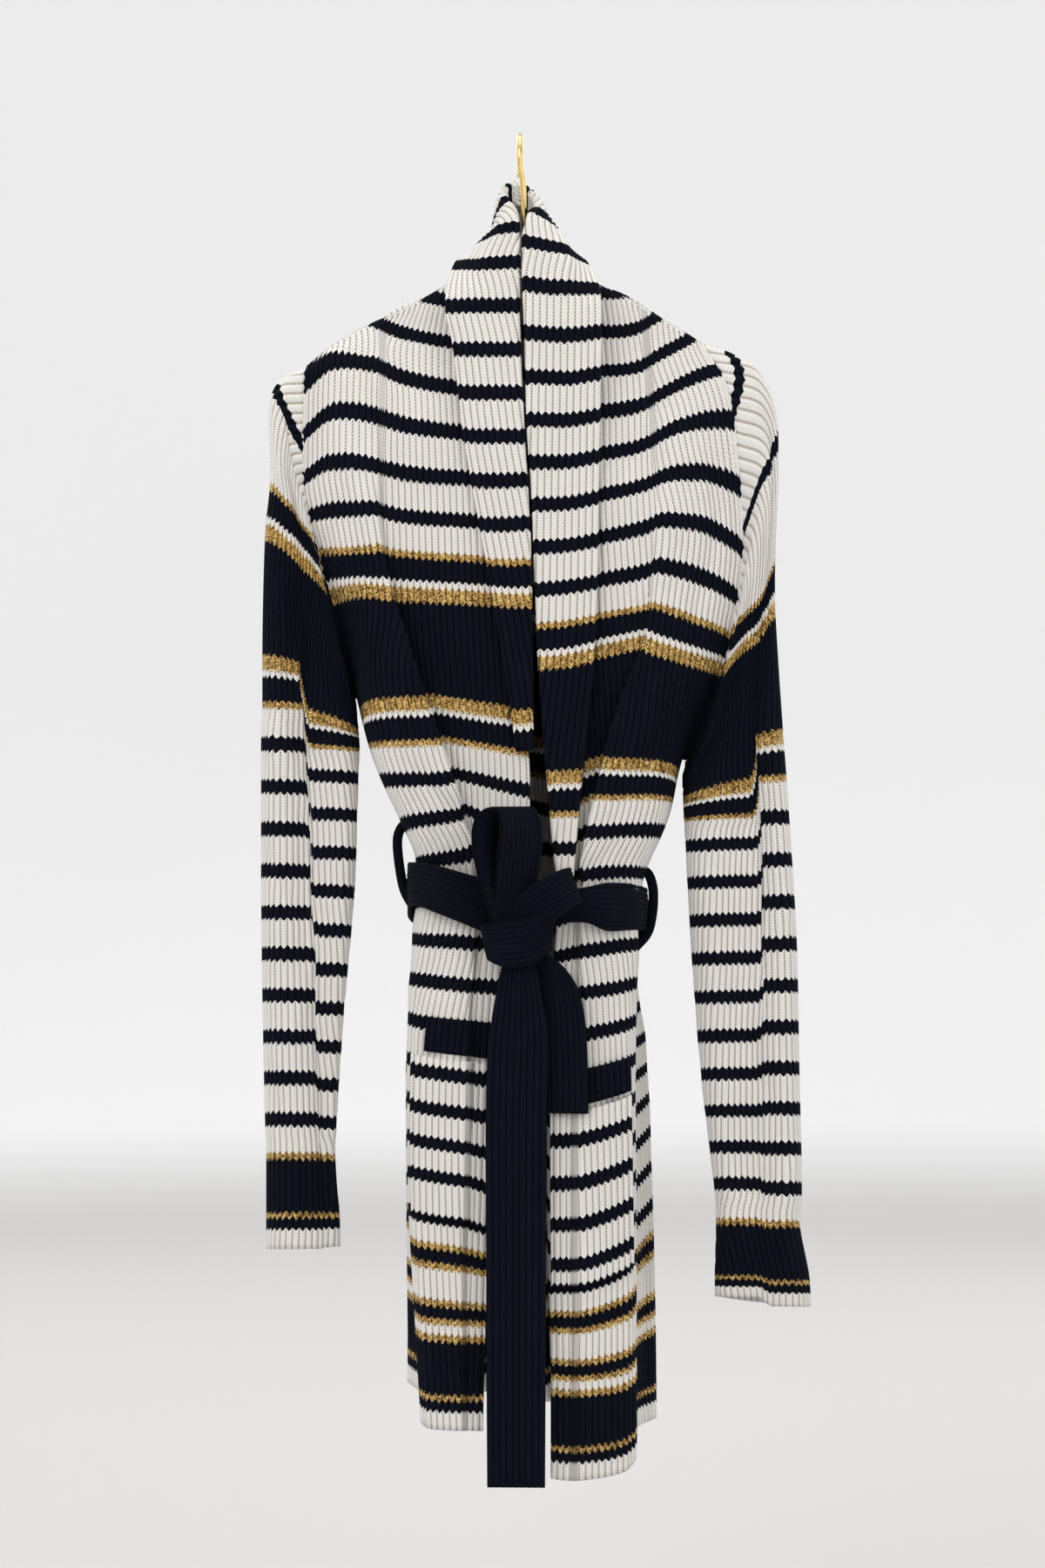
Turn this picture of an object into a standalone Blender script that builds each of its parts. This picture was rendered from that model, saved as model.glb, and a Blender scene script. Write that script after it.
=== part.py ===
# Long knitted cardigan coat with a shawl collar and a tied belt, hanging on a hanger.
# Sizes are in millimetres until a mesh is made, which is in metres. +Z is up and the coat faces -Y.
# The origin is where the hook bears on its rail. Left and right are as seen from the front.
import math

import bmesh
import bpy
import numpy as np

# Driving sizes
MM = 0.001
WALL = 2.8            # thickness of the ribbed cloth
SEAM = 1.5            # from one cloth's edge to the next at a seam, before their thickness
LAYER = 3.3           # from one cloth's middle to that of a cloth lying on it
BELT_WALL = 3.0
SIGHT_X, SIGHT_Z = 2.0, -503.0   # the tables hold places as seen in line with this point
SIGHT_FAR = 2700.0               # from this far in front of the hanger
BAND_TOP, BAND_FOOT, POCKET_TOP, POCKET_FOOT = 377.0, 405.0, 409.0, 548.0   # courses at the pocket
HEM = 714.5           # the last course of the body
UNDERARM = 105.0      # the course at the underarm
ARMHOLE_GAP, ARMHOLE_LOW, ARMHOLE_TURN = 2.3, 2.6, 6   # where the sleeves start off the body's edge
WIRE = 4.8            # hook wire
HOOK_R = 16.4         # from the hook's centre to the inside of its crown
ARM_THICK = 8.8       # hanger body

# Five wales of each front: centre edge, valley and ridge of its long pleat, side fold, side edge
WALES = (0.0, 0.54, 0.61, 0.82, 1.0)

# Courses of the left front, top to bottom. Each row: the course (mm of knitting below the first
# gold stripe, one number or one for each wale), then x, z and y at the five wales.
FRONT_LEFT = [
    ((-241, -164, -157, -134, -128), (-5, -103, -111, -144, -163), (-84, -140, -143, -161, -176),
     (-5, -2.3, -2.3, -2.3, -2.3)),
    (-125, (-6, -103, -111, -144, -166), (-198, -180, -175, -172, -187), (-31, -21, -20, -13, -9)),
    (-59.5, (-2, -102, -112, -146, -167), (-265, -256, -253, -250, -262), (-38, -36, -35, -28, -18)),
    (0, (0, -100, -109, -137, -156), (-325, -318, -314, -316, -316), (-41, -37, -40, -32, -16)),
    (39, (1, -92, -100, -124, -143), (-364, -362, -359, -356, -360), (-42, -36, -44, -36, -12)),
    (105, (4, -75, -80, -107, -126), (-430, -428, -420, -421, -433), (-44, -34, -50, -42, 2)),
    (183, (8, -51, -54, -88, -107), (-507, -505, -496, -498, -497), (-45, -34, -51, -44, 2)),
    (216, (7, -41, -45, -74, -90), (-541, -534, -524, -529, -534), (-44, -35, -50, -44, 2)),
    (249, (2, -33, -37, -61, -79), (-573, -564, -554, -560, -564), (-43, -36, -49, -42, 2)),
    (282, (-3, -31, -35, -60, -79), (-600, -595, -592, -592, -594), (-41, -37, -45, -39, 2)),
    (315, (-10, -31, -35, -63, -82), (-628, -628, -626, -624, -621), (-44, -41, -48, -42, 2)),
    (381, (-17, -34, -40, -80, -78), (-694, -693, -692, -686, -680), (-50, -51, -56, -42, 2)),
    (447, (-20, -35, -42, -82, -76), (-760, -758, -756, -748, -738), (-54, -55, -60, -44, 0)),
    (546, (-24, -37, -44, -81, -74), (-849, -845, -843, -835, -826), (-58, -59, -63, -46, -2)),
    (645.5, (-27, -38, -44, -75, -70), (-938, -938, -938, -933, -918), (-60, -61, -65, -50, -4)),
    (714.5, (-29, -39, -44, -71, -66), (-1008, -1008, -1008, -1005, -986), (-62, -63, -66, -52, -6)),
]
FRONT_RIGHT = [
    ((-283, -240, -231, -196, -180), (6, 93, 100, 128, 141), (-88, -131, -135, -152, -160),
     (-5, -2.3, -2.3, -2.3, -2.3)),
    (-125.5, (10, 101, 107, 141, 164), (-250, -235, -231, -218, -216), (-33, -26, -25, -21, -14)),
    (-59.5, (13, 103, 109, 145, 172), (-318, -299, -296, -299, -316), (-38, -37, -37, -32, -16)),
    (0, (17, 99, 105, 141, 163), (-375, -364, -359, -371, -381), (-41, -37, -42, -34, -14)),
    (39, (20, 89, 96, 131, 154), (-413, -403, -397, -409, -416), (-42, -36, -46, -38, -10)),
    (105, (25, 65, 71, 103, 126), (-479, -477, -468, -471, -481), (-44, -35, -52, -44, 2)),
    (183, (30, 48, 54, 89, 111), (-553, -549, -539, -537, -537), (-45, -36, -51, -44, 2)),
    (216, (31, 43, 47, 76, 96), (-583, -579, -573, -570, -571), (-43, -37, -49, -42, 2)),
    (249, (29, 41, 46, 74, 91), (-609, -605, -602, -598, -597), (-42, -39, -46, -40, 2)),
    (315, (24, 39, 46, 84, 83), (-667, -666, -665, -658, -653), (-50, -50, -54, -40, 2)),
    (414, (21, 37, 46, 84, 78), (-764, -764, -763, -749, -738), (-56, -57, -61, -44, 0)),
    (546, (22, 37, 46, 85, 78), (-894, -894, -894, -875, -856), (-58, -60, -63, -46, -2)),
    (645.5, (24, 37, 45, 84, 78), (-978, -980, -980, -971, -946), (-60, -62, -65, -50, -4)),
    (714.5, (24, 37, 45, 84, 78), (-1045, -1047, -1047, -1036, -1010), (-62, -64, -66, -52, -6)),
]

# Five wales of the back: left edge, left fold, middle, right fold, right edge. The last number in
# each row is the depth of its vertical folds.
BACK_WALES = (0.0, 0.14, 0.5, 0.86, 1.0)
BACK_FOLDS = 4
SLOPE_FOOT = -125.0   # the course that the shoulders slope up from
BACK = [
    ((-128, -190, -226, -262, -180), (-163, -62, 2, 66, 141), (-176, -120, -114, -116, -160),
     (2.3, 2.3, 16, 2.3, 2.3), 0),
    (-125, (-166, -130, 2, 130, 164), (-187, -178, -214, -220, -216), (9, 22, 27, 25, 14), 0),
    (-59.5, (-167, -130, 2, 134, 172), (-262, -256, -285, -302, -316), (18, 32, 36, 33, 16), 1),
    (0, (-156, -124, 2, 128, 163), (-316, -320, -345, -370, -381), (16, 36, 42, 36, 14), 2),
    (UNDERARM, (-126, -104, 2, 106, 126), (-433, -428, -450, -473, -481), (2, 42, 50, 42, 2), 6),
    (183, (-107, -90, 4, 98, 111), (-497, -497, -518, -538, -537), (2, 44, 53, 44, 2), 11),
    (249, (-79, -74, 4, 83, 91), (-564, -566, -580, -598, -597), (2, 42, 50, 42, 2), 15),
    (315, (-82, -78, 4, 88, 83), (-621, -620, -640, -650, -653), (2, 44, 54, 44, 2), 15),
    (381, (-78, -84, 4, 96, 80), (-680, -670, -692, -698, -706), (2, 46, 58, 46, 1), 14),
    (447, (-76, -87, 3, 99, 78), (-738, -722, -742, -746, -768), (0, 48, 62, 48, 0), 14),
    (546, (-74, -87, 1, 102, 78), (-826, -808, -824, -828, -856), (-2, 50, 66, 50, -2), 13),
    (645.5, (-70, -86, 0, 104, 78), (-918, -901, -916, -929, -946), (-4, 52, 69, 52, -4), 12),
    (714.5, (-66, -86, 0, 105, 78), (-986, -969, -984, -997, -1010), (-6, 54, 72, 54, -6), 12),
]

# Rings of each sleeve below its armhole. Each row: the course at the outer and the inner side, x and
# z there, how far the front bows outward, half the depth, and the depth of the long crease.
SLEEVE_LEFT = [
    (-75, 107, -184, -190, -129, -441, -17, 23, 0),
    (-45, 109, -193, -216, -129, -445, -10, 27, 1),
    (0, 111, -193, -265, -129, -449, -4, 30, 4),
    (39, 114, -197, -311, -129, -453, 0, 32, 9),
    (118, 118, -199, -400, -128, -459, 0, 32, 15),
    (156.5, 156.5, -199, -442, -127, -477, 0, 31, 18),
    (183, 183, -200, -470, -128, -497, 0, 31, 19),
    (282, 282, -200, -569, -131, -586, 0, 30, 18),
    (381, 381, -199, -666, -139, -677, 0, 28, 15),
    (480, 480, -197, -763, -145, -766, 0, 26, 11),
    (506, 506, -196, -789, -146, -790, 0, 25, 8),
    (552.5, 552.5, -196, -836, -143, -836, 0, 25, 6),
    (583, 583, -196, -866, -142, -864, 0, 26, 6),
]
SLEEVE_RIGHT = [
    (-150, 107, 170, -172, 131, -489, 32, 22, 0),
    (-115, 109, 189, -196, 130, -493, 25, 26, 0),
    (-80, 111, 194, -236, 129, -497, 21, 28, 2),
    (0, 113, 195, -318, 129, -501, 14, 31, 5),
    (39, 115, 197, -369, 129, -505, 7, 33, 10),
    (118, 118, 203, -458, 129, -512, 0, 33, 15),
    (156.5, 156.5, 206, -499, 130, -531, 0, 32, 18),
    (183, 183, 208, -527, 131, -550, 0, 32, 20),
    (282, 282, 214, -626, 136, -638, 0, 31, 19),
    (381, 381, 216, -723, 143, -728, 0, 29, 17),
    (480, 480, 218, -817, 153, -813, 0, 27, 14),
    (506, 506, 216, -842, 155, -840, 0, 26, 11),
    (552.5, 552.5, 224, -889, 154, -885, 0, 28, 10),
    (583, 583, 225, -911, 154, -903, 0, 28, 10),
]
CREASE_AT = 0.27      # where round the sleeve its long crease lies, from the outer side by the front
CREASE_WIDE = 0.09
SLOW_DROP, QUICK_DROP = 1.6, 1.2   # how the rings fall from the outer to the inner side

# Turned-back collar, from its low end to the centre back. Each row: the course, the way it faces in
# degrees (0 front, 90 outward, 180 back), then x, z and y of the rolled edge, the middle and the
# free edge, and the length of the part inside the roll.
COLLAR_LEFT = [
    (150, 0, (10, -476, -51), (4, -477, -53), (-3, -478, -52), 4),
    (105, 0, (10, -430, -50.5), (0, -430, -52), (-9, -430, -51), 5),
    (39, 0, (9, -364, -48.5), (-6, -364, -50), (-20, -363, -47), 6),
    (-26.5, 0, (7, -298, -46), (-12, -299, -48), (-32, -299, -45), 6),
    (-92, 0, (3, -231, -41.5), (-20, -231, -43.5), (-44, -230, -40.5), 6),
    (-158, 0, (0, -163, -34), (-27, -163, -37), (-52, -163, -33), 6),
    (-191, 0, (-1, -129, -30), (-30, -129, -33), (-58, -130, -27), 7),
    (-224, 6, (-1.2, -95, -25), (-28, -96, -26), (-50, -98, 2), 12),
    (-258, 25, (-1.4, -67, -19), (-21, -71, -18), (-36, -88, 10), 13),
    (-275, 40, (-5, -54, -12), (-17, -62, -10), (-36, -94, 18), 14),
    (-290, 60, (-10, -47, -4), (-17, -57, -4), (-34, -100, 25), 14),
    (-304, 95, (-13, -42, 6), (-18, -55, 9), (-31, -107, 33), 14),
    (-318, 140, (-11, -37, 15), (-15, -54, 23), (-21, -113, 40), 14),
    (-330, 175, (-6.2, -35, 19), (-6.8, -56, 30), (-7.7, -118, 43), 14),
]
COLLAR_RIGHT = [
    (215, 0, (30, -578, -51), (36, -578, -52), (42, -578, -51), 4),
    (183, 0, (26, -552, -51), (34, -552, -52), (44, -552, -51), 5),
    (105, 0, (20, -479, -50.5), (36, -478, -51), (51, -477, -50), 6),
    (39, 0, (15, -413, -48.5), (37, -411, -49), (58, -406, -46), 6),
    (-26.5, 0, (12.4, -350, -46), (36, -348, -48), (61, -344, -45), 6),
    (-92, 0, (10, -284, -44), (37, -283, -46), (62, -278, -43), 6),
    (-158, 0, (6, -218, -40), (35, -218, -43), (63, -214, -39), 6),
    (-224, 0, (4.2, -150, -35), (36, -152, -38), (64, -149, -34), 6),
    (-257, 0, (3.4, -112, -31), (34, -115, -32), (62, -116, -20), 9),
    (-290, 10, (3.4, -79, -25), (31, -85, -24), (52, -97, 6), 12),
    (-316, 35, (8, -58, -17), (24, -68, -12), (42, -94, 18), 13),
    (-330, 60, (13, -53, -6), (22, -61, -3), (38, -100, 26), 14),
    (-342, 95, (12, -46, 6), (19, -56, 10), (31, -107, 34), 14),
    (-354, 140, (5, -38.5, 15), (12, -54, 23), (18, -113, 40), 14),
    (-366, 175, (-2.4, -35, 19), (-1.8, -56, 30), (-0.9, -118, 43), 14),
]
ROLL_STEPS = 4
ROLL_R = 2.3          # half the space between the cloth's middles where the collar rolls over

# Belt round the waist, from the knot to the left, round the back, and to the knot again.
# Each row: x, y, top, foot, and how far its middle folds out.
BELT_ROUND = [
    (-23, -57, -578, -621, 2), (-42, -59, -573, -613, 2), (-64, -53, -567, -604, 2),
    (-81, -32, -564, -598, 1), (-86, 0, -564, -600, 1), (-86, 30, -566, -606, 0),
    (-78, 57.5, -572, -614, 0), (-42, 75, -580, -624, 0), (4, 79, -586, -630, 0),
    (52, 75, -588, -632, 0), (86, 57.5, -586, -630, 0), (98, 30, -584, -624, 1),
    (97.5, 0, -584, -617, 1), (88, -34, -581, -617, 3), (70, -54, -580, -618, 4),
    (54, -58, -583, -612, 4), (44, -60, -585, -611, 3),
    (27.4, -61.3, -592, -612, 0.4),
]
# Strips of belt in front. Each row: x, z, y, the way the strip's width runs (degrees from +X
# towards the viewer), and the width.
BELT_BOW = [
    (-8, -596, -70, 80, 22), (-17, -582, -76, 82, 30), (-29, -560, -82, 84, 36),
    (-31.5, -538, -84, 80, 40), (-24, -525, -85, 64, 42), (-12, -521.5, -85, 50, 42),
    (-1, -526, -83, 40, 42), (4, -542, -80, 34, 42), (4, -560, -76, 32, 38),
    (4, -576, -70, 16, 26), (5, -590, -68.2, 6, 20),
]
BELT_TAIL_LONG = [
    (-1, -641, -75.1, 0, 24), (-1, -657, -75, 0, 31), (-1, -690, -74, 2, 42), (-2, -720, -74, 2, 46),
    (-3, -780, -75, 0, 46.5), (-3, -860, -75, -2, 45.5), (-3, -960, -75, 0, 45), (-3, -1052, -75, 2, 44),
]
BELT_TAIL_SHORT = [
    (9.6, -632, -70, 6, 16), (23, -650, -67.5, 16, 29), (29, -672, -66.5, 16, 38),
    (31, -710, -67, 12, 42), (32, -760, -67, 10, 42),
]
# Wraps of the knot. Each row: x, z and y of the wrap's middle, the way its width leans in the
# picture (degrees from +Z towards +X), and the width.
BELT_KNOT = [
    (25, -619, -64, 8, 26), (23, -619, -73, 6, 30), (9, -625, -80, 0, 36), (-10, -628, -80, -6, 36),
    (-25, -627, -73, -10, 28), (-28, -624, -60.3, -12, 22),
]
BELT_WING = [
    (-4, -608, -76.2, 40, 14), (8, -597, -72.8, 38, 18), (20, -590, -76, 34, 24), (33, -583, -75, 30, 26),
    (42, -579, -69, 30, 18),
]
# Carriers: x, z and y along each narrow tube
LOOP_LEFT = [(-95.8, -529, 0), (-96.4, -540, 0), (-97, -557, 0), (-96.5, -582, 0), (-91.5, -601, 0),
             (-83.2, -608.5, 0)]
LOOP_RIGHT = [(104.2, -563, 0), (104, -573, 0), (106.4, -590, 0), (106, -611, 0), (100.5, -628, 0),
              (88.6, -636, 0)]
LOOP_THICK, LOOP_WIDE = 4.4, 10.0

# Top of the hanger's body from its middle to its tip: distance out, height
ARM_TOP = [(0, -106), (14, -108), (40, -121), (66, -135), (89, -145), (107, -151), (135, -168), (154, -181),
           (163, -194)]
ARM_DEEP = [(0, 28), (40, 26), (107, 20), (154, 18), (163, 9)]
HANGER_X = 4.0
STEM_FOOT = -106.7    # where the hook's stem ends, on the body

NAVY = (0.010, 0.017, 0.045)
ECRU = (0.83, 0.79, 0.70)
BRASS = (0.80, 0.58, 0.26)
WOOD = (0.62, 0.45, 0.28)


def curve(knots, rows, at):
    """The smooth curve through rows of numbers at the given knots, without overshoot."""
    knots, rows, at = (np.asarray(a, float) for a in (knots, rows, at))
    step = np.diff(knots).reshape((-1,) + (1,) * (rows.ndim - 1))
    rise = np.diff(rows, axis=0) / step
    slope = np.empty_like(rows)
    slope[0], slope[-1] = rise[0], rise[-1]
    mean = (rise[:-1] * step[1:] + rise[1:] * step[:-1]) / (step[1:] + step[:-1])
    least = 3 * np.minimum(abs(rise[:-1]), abs(rise[1:]))
    slope[1:-1] = np.where(rise[:-1] * rise[1:] > 0, np.clip(mean, -least, least), 0)
    i = np.clip(np.searchsorted(knots, at, side="right") - 1, 0, len(knots) - 2)
    h = step[i]
    t = (at - knots[i]).reshape(h.shape) / h
    return (
        rows[i] * (1 + 2 * t) * (1 - t) ** 2
        + slope[i] * h * t * (1 - t) ** 2
        + rows[i + 1] * t * t * (3 - 2 * t)
        - slope[i + 1] * h * t * t * (1 - t)
    )


def placed(x, z, y):
    """Points for places seen in line with x and z that really lie at depth y."""
    x, z, y = np.broadcast_arrays(*(np.asarray(a, float) for a in (x, z, y)))
    away = 1 + y / SIGHT_FAR
    return np.stack([SIGHT_X + (x - SIGHT_X) * away, y, SIGHT_Z + (z - SIGHT_Z) * away], -1)


def normals(grid, around=False):
    """Unit normals of a grid of points (rows, columns, 3)."""
    if around:
        wide = np.concatenate([grid[:, -1:], grid, grid[:, :1]], 1)
        across = (wide[:, 2:] - wide[:, :-2]) / 2
    else:
        across = np.gradient(grid, axis=1)
    along = np.gradient(grid, axis=0)
    n = np.cross(along, across)
    return n / np.maximum(np.linalg.norm(n, axis=2, keepdims=True), 1e-9)


def panel_table(rows, wales):
    """A panel's table as knots down its length and an array (row, wale, x-y-z-course)."""
    down = [float(np.mean(row[0])) for row in rows]
    body = [
        np.concatenate([placed(row[1], row[2], row[3]), np.broadcast_to(row[0], (1, len(wales))).T], 1)
        for row in rows
    ]
    return np.array(down), np.array(body)


def panel(rows, wales, down, across):
    """Points and courses of a panel at the given courses down and shares across."""
    knots, body = panel_table(rows, wales)
    lines = curve(knots, body, down)
    grid = curve(wales, lines.transpose(1, 0, 2), across).transpose(1, 0, 2)
    return grid[..., :3], grid[..., 3]


def front(rows, down, across):
    return panel(rows, WALES, down, across)[0]


def fold_wave(share):
    """Vertical folds of the back: 0 at its side folds, up to 1 out and in between them."""
    inner = np.clip((share - BACK_WALES[1]) / (BACK_WALES[3] - BACK_WALES[1]), 0, 1)
    return -np.cos(inner * 2 * math.pi * BACK_FOLDS) * np.sin(inner * math.pi) ** 0.6


def back(down, across):
    """The back's points, with its folds, and its edges laid against those of the fronts."""
    grid, _ = panel([row[:4] for row in BACK], BACK_WALES, down, across)
    knots = panel_table([row[:4] for row in BACK], BACK_WALES)[0]
    depth = curve(knots, np.array([[row[4]] for row in BACK]), down)
    grid[..., 1] += depth * fold_wave(np.asarray(across))[None, :]
    for side, rows in ((0, FRONT_LEFT), (-1, FRONT_RIGHT)):
        slope = (panel_table(rows, WALES)[0][0] - SLOPE_FOOT) / (knots[0] - SLOPE_FOOT)
        beside = np.where(down < SLOPE_FOOT, SLOPE_FOOT + (down - SLOPE_FOOT) * slope, down)
        edge = front(rows, beside, (1.0,))[:, 0]
        joined = (np.asarray(down) >= UNDERARM)[:, None]
        edge = np.where(joined, edge + (0, SEAM + WALL * 0.1, 0), edge * (1, -1, 1))
        share = np.asarray(across) if side == 0 else 1 - np.asarray(across)
        near = np.clip(1 - share / BACK_WALES[1], 0, 1)[None, :, None]
        grid += near * (edge - grid[:, side])[:, None, :]
    return grid


def armhole(rows, turns):
    """The ring where a sleeve joins the body: down the front's edge, up the back's."""
    down = np.where(turns <= 0.5, turns, 1 - turns) * 2
    knots, _ = panel_table(rows, WALES)
    at = curve((0, 0.5, 1), [[knots[0]], [-59.5], [UNDERARM]], down)[:, 0]
    near, edge = front(rows, at, (0.97, 1.0)).transpose(1, 0, 2)
    onward = edge - near
    onward /= np.linalg.norm(onward, axis=1, keepdims=True)
    low = (np.sin(down * math.pi / 2) ** ARMHOLE_TURN)[:, None]
    outward = np.array([math.copysign(1, edge[0, 0]), 0, -0.5])
    onward = onward * (1 - low) + outward * low
    ring = edge + onward * (ARMHOLE_GAP + ARMHOLE_LOW * low)
    mirrored = (turns > 0.5)[:, None] & (np.arange(3) == 1)
    ring = np.where(mirrored, -ring, ring)
    ring[np.isclose(down, 1), 1] = 1.0
    return ring


def sleeve_ring(row, turns):
    """One ring of a sleeve: outer side at turn 0, front at a quarter, inner side at a half."""
    _, _, x_out, z_out, x_in, z_in, bow, depth, crease = row
    around = turns * 2 * math.pi
    drop = ((1 - np.cos(around)) / 2) ** (SLOW_DROP if x_out < 0 else QUICK_DROP)
    swell = np.sign(np.cos(around)) * abs(np.cos(around)) ** 0.85
    x = (x_out + x_in) / 2 + (x_out - x_in) / 2 * swell + bow * abs(np.sin(around)) ** 1.2
    y = -depth * np.sign(np.sin(around)) * abs(np.sin(around)) ** 0.8
    dent = np.exp(-(((turns - CREASE_AT) / CREASE_WIDE) ** 2))
    back_dent = np.exp(-(((turns - 0.72) / 0.1) ** 2))
    y = y + crease * dent - 0.5 * crease * back_dent
    z = z_out + (z_in - z_out) * drop
    return placed(x, z, y)


def sleeve(front_rows, rows, rings, turns):
    """A sleeve's points at the given rings (0 is the armhole, 1 the first row, and so on)."""
    turns = np.asarray(turns)
    table = np.array([armhole(front_rows, turns)] + [sleeve_ring(row, turns) for row in rows])
    return curve(np.arange(len(table)), table, rings)


def collar_section(row, side, over_steps):
    """One row of the collar: inside the roll, round it, then out to the free edge."""
    _, facing, roll, middle, free, inside = row
    edge, middle, free = (placed(*point) for point in (roll, middle, free))
    turn = math.radians(facing)
    out = np.array([side * math.sin(turn), -math.cos(turn), 0.0])
    fall = middle - edge - out * ROLL_R
    fall /= np.linalg.norm(fall)
    stand = fall - out * fall.dot(out)
    stand /= np.linalg.norm(stand)
    out -= fall * out.dot(fall)
    out /= np.linalg.norm(out)
    hub = edge + fall * ROLL_R
    under = [hub - out * ROLL_R + stand * inside * share for share in (1.0, 0.5)]
    bend = [hub - ROLL_R * (math.cos(a) * out + math.sin(a) * fall)
            for a in np.linspace(0, math.pi, ROLL_STEPS + 1)]
    over = curve((0, 0.5, 1), [bend[-1], middle, free], np.linspace(0, 1, over_steps + 1))[1:]
    return np.array(under + bend + list(over))


def collar(rows, side, steps, over_steps):
    """A collar half's points: its rows run from the low end to the centre back."""
    table = np.array([collar_section(row, side, over_steps) for row in rows])
    return curve(np.arange(len(rows)), table, steps)


def strip(rows, steps, shares, lean=False):
    """A belt strip's points: rows along its length, the given shares across its width."""
    table = np.array(rows, float)
    line = curve(np.arange(len(rows)), table, steps)
    turn = np.radians(line[:, 3])
    if lean:
        wide = np.stack([np.sin(turn), np.zeros_like(turn), np.cos(turn)], 1)
    else:
        wide = np.stack([np.cos(turn), -np.sin(turn), np.zeros_like(turn)], 1)
    centre = placed(line[:, 0], line[:, 1], line[:, 2])
    offset = (np.asarray(shares) - 0.5)[None, :, None] * line[:, 4][:, None, None]
    return centre[:, None] + wide[:, None] * offset


def belt_round(steps, shares):
    table = np.array(BELT_ROUND, float)
    line = curve(np.arange(len(table)), table, steps)
    share = np.asarray(shares)[None, :]
    out = np.gradient(line[:, :2], axis=0)
    out = np.stack([-out[:, 1], out[:, 0]], 1)
    out /= np.linalg.norm(out, axis=1, keepdims=True)
    bulge = line[:, 4:5] * np.sin(share * math.pi) ** 2
    x = line[:, :1] + 0 * share
    y = line[:, 1:2] + 0 * share
    z = line[:, 2:3] + (line[:, 3:4] - line[:, 2:3]) * share
    return placed(x + out[:, :1] * bulge, z, y + out[:, 1:] * bulge)


def material(name, colour, roughness, metallic=0.0):
    made = bpy.data.materials.get(name)
    if made is None:
        made = bpy.data.materials.new(name)
        made.use_nodes = True
        shader = made.node_tree.nodes["Principled BSDF"]
        shader.inputs["Base Color"].default_value = (*colour, 1)
        shader.inputs["Roughness"].default_value = roughness
        shader.inputs["Metallic"].default_value = metallic
    return made


def finished(mesh, name, look):
    mesh.normal_update()
    bmesh.ops.recalc_face_normals(mesh, faces=mesh.faces)
    if mesh.calc_volume(signed=True) < 0:
        bmesh.ops.reverse_faces(mesh, faces=mesh.faces)
    data = bpy.data.meshes.new(name)
    mesh.to_mesh(data)
    mesh.free()
    data.shade_smooth()
    data.set_sharp_from_angle(angle=math.radians(50))
    made = bpy.data.objects.new(name, data)
    made.data.materials.append(look)
    bpy.context.scene.collection.objects.link(made)
    return made


def cloth(name, grid, look, wall=WALL, around=False):
    """A closed wall of even thickness on a grid of mid-surface points."""
    push = normals(grid, around) * wall / 2
    rows, columns = grid.shape[:2]
    mesh = bmesh.new()
    outer, inner = ([[mesh.verts.new(point * MM) for point in line] for line in side]
                    for side in (grid + push, grid - push))
    wrap = columns if around else columns - 1
    for r in range(rows - 1):
        for c in range(wrap):
            d = (c + 1) % columns
            mesh.faces.new((outer[r][c], outer[r][d], outer[r + 1][d], outer[r + 1][c]))
            mesh.faces.new((inner[r][c], inner[r + 1][c], inner[r + 1][d], inner[r][d]))
    for c in range(wrap):
        d = (c + 1) % columns
        mesh.faces.new((outer[0][c], inner[0][c], inner[0][d], outer[0][d]))
        mesh.faces.new((outer[-1][c], outer[-1][d], inner[-1][d], inner[-1][c]))
    if not around:
        for r in range(rows - 1):
            mesh.faces.new((outer[r][0], outer[r + 1][0], inner[r + 1][0], inner[r][0]))
            mesh.faces.new((outer[r][-1], inner[r][-1], inner[r + 1][-1], outer[r + 1][-1]))
    bmesh.ops.triangulate(mesh, faces=mesh.faces)
    return finished(mesh, name, look)


def tube(name, path, wide, thick, sides, look):
    """A closed bar of elliptical section along a path. Its width runs along Y where it can."""
    path = np.asarray(path, float)
    along = np.gradient(path, axis=0)
    along /= np.linalg.norm(along, axis=1, keepdims=True)
    across = np.array([0, 1, 0]) - along * along[:, 1:2]
    flat = np.linalg.norm(across, axis=1, keepdims=True)
    across = np.where(flat > 0.2, across / np.maximum(flat, 1e-6), (1.0, 0, 0))
    other = np.cross(along, across)
    mesh = bmesh.new()
    angles = np.arange(sides) * 2 * math.pi / sides
    rings = [[mesh.verts.new((p + a * math.cos(t) * wide / 2 + b * math.sin(t) * thick / 2) * MM)
              for t in angles] for p, a, b in zip(path, across, other)]
    for low, high in zip(rings, rings[1:]):
        for k in range(sides):
            j = (k + 1) % sides
            mesh.faces.new((low[k], low[j], high[j], high[k]))
    mesh.faces.new(rings[0])
    mesh.faces.new(rings[-1])
    return finished(mesh, name, look)


def spaced(*stretches):
    """Shares across a panel: (from, to, steps) for each stretch, joined."""
    return np.unique(np.concatenate([np.linspace(a, b, n + 1) for a, b, n in stretches]).round(6))


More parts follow.
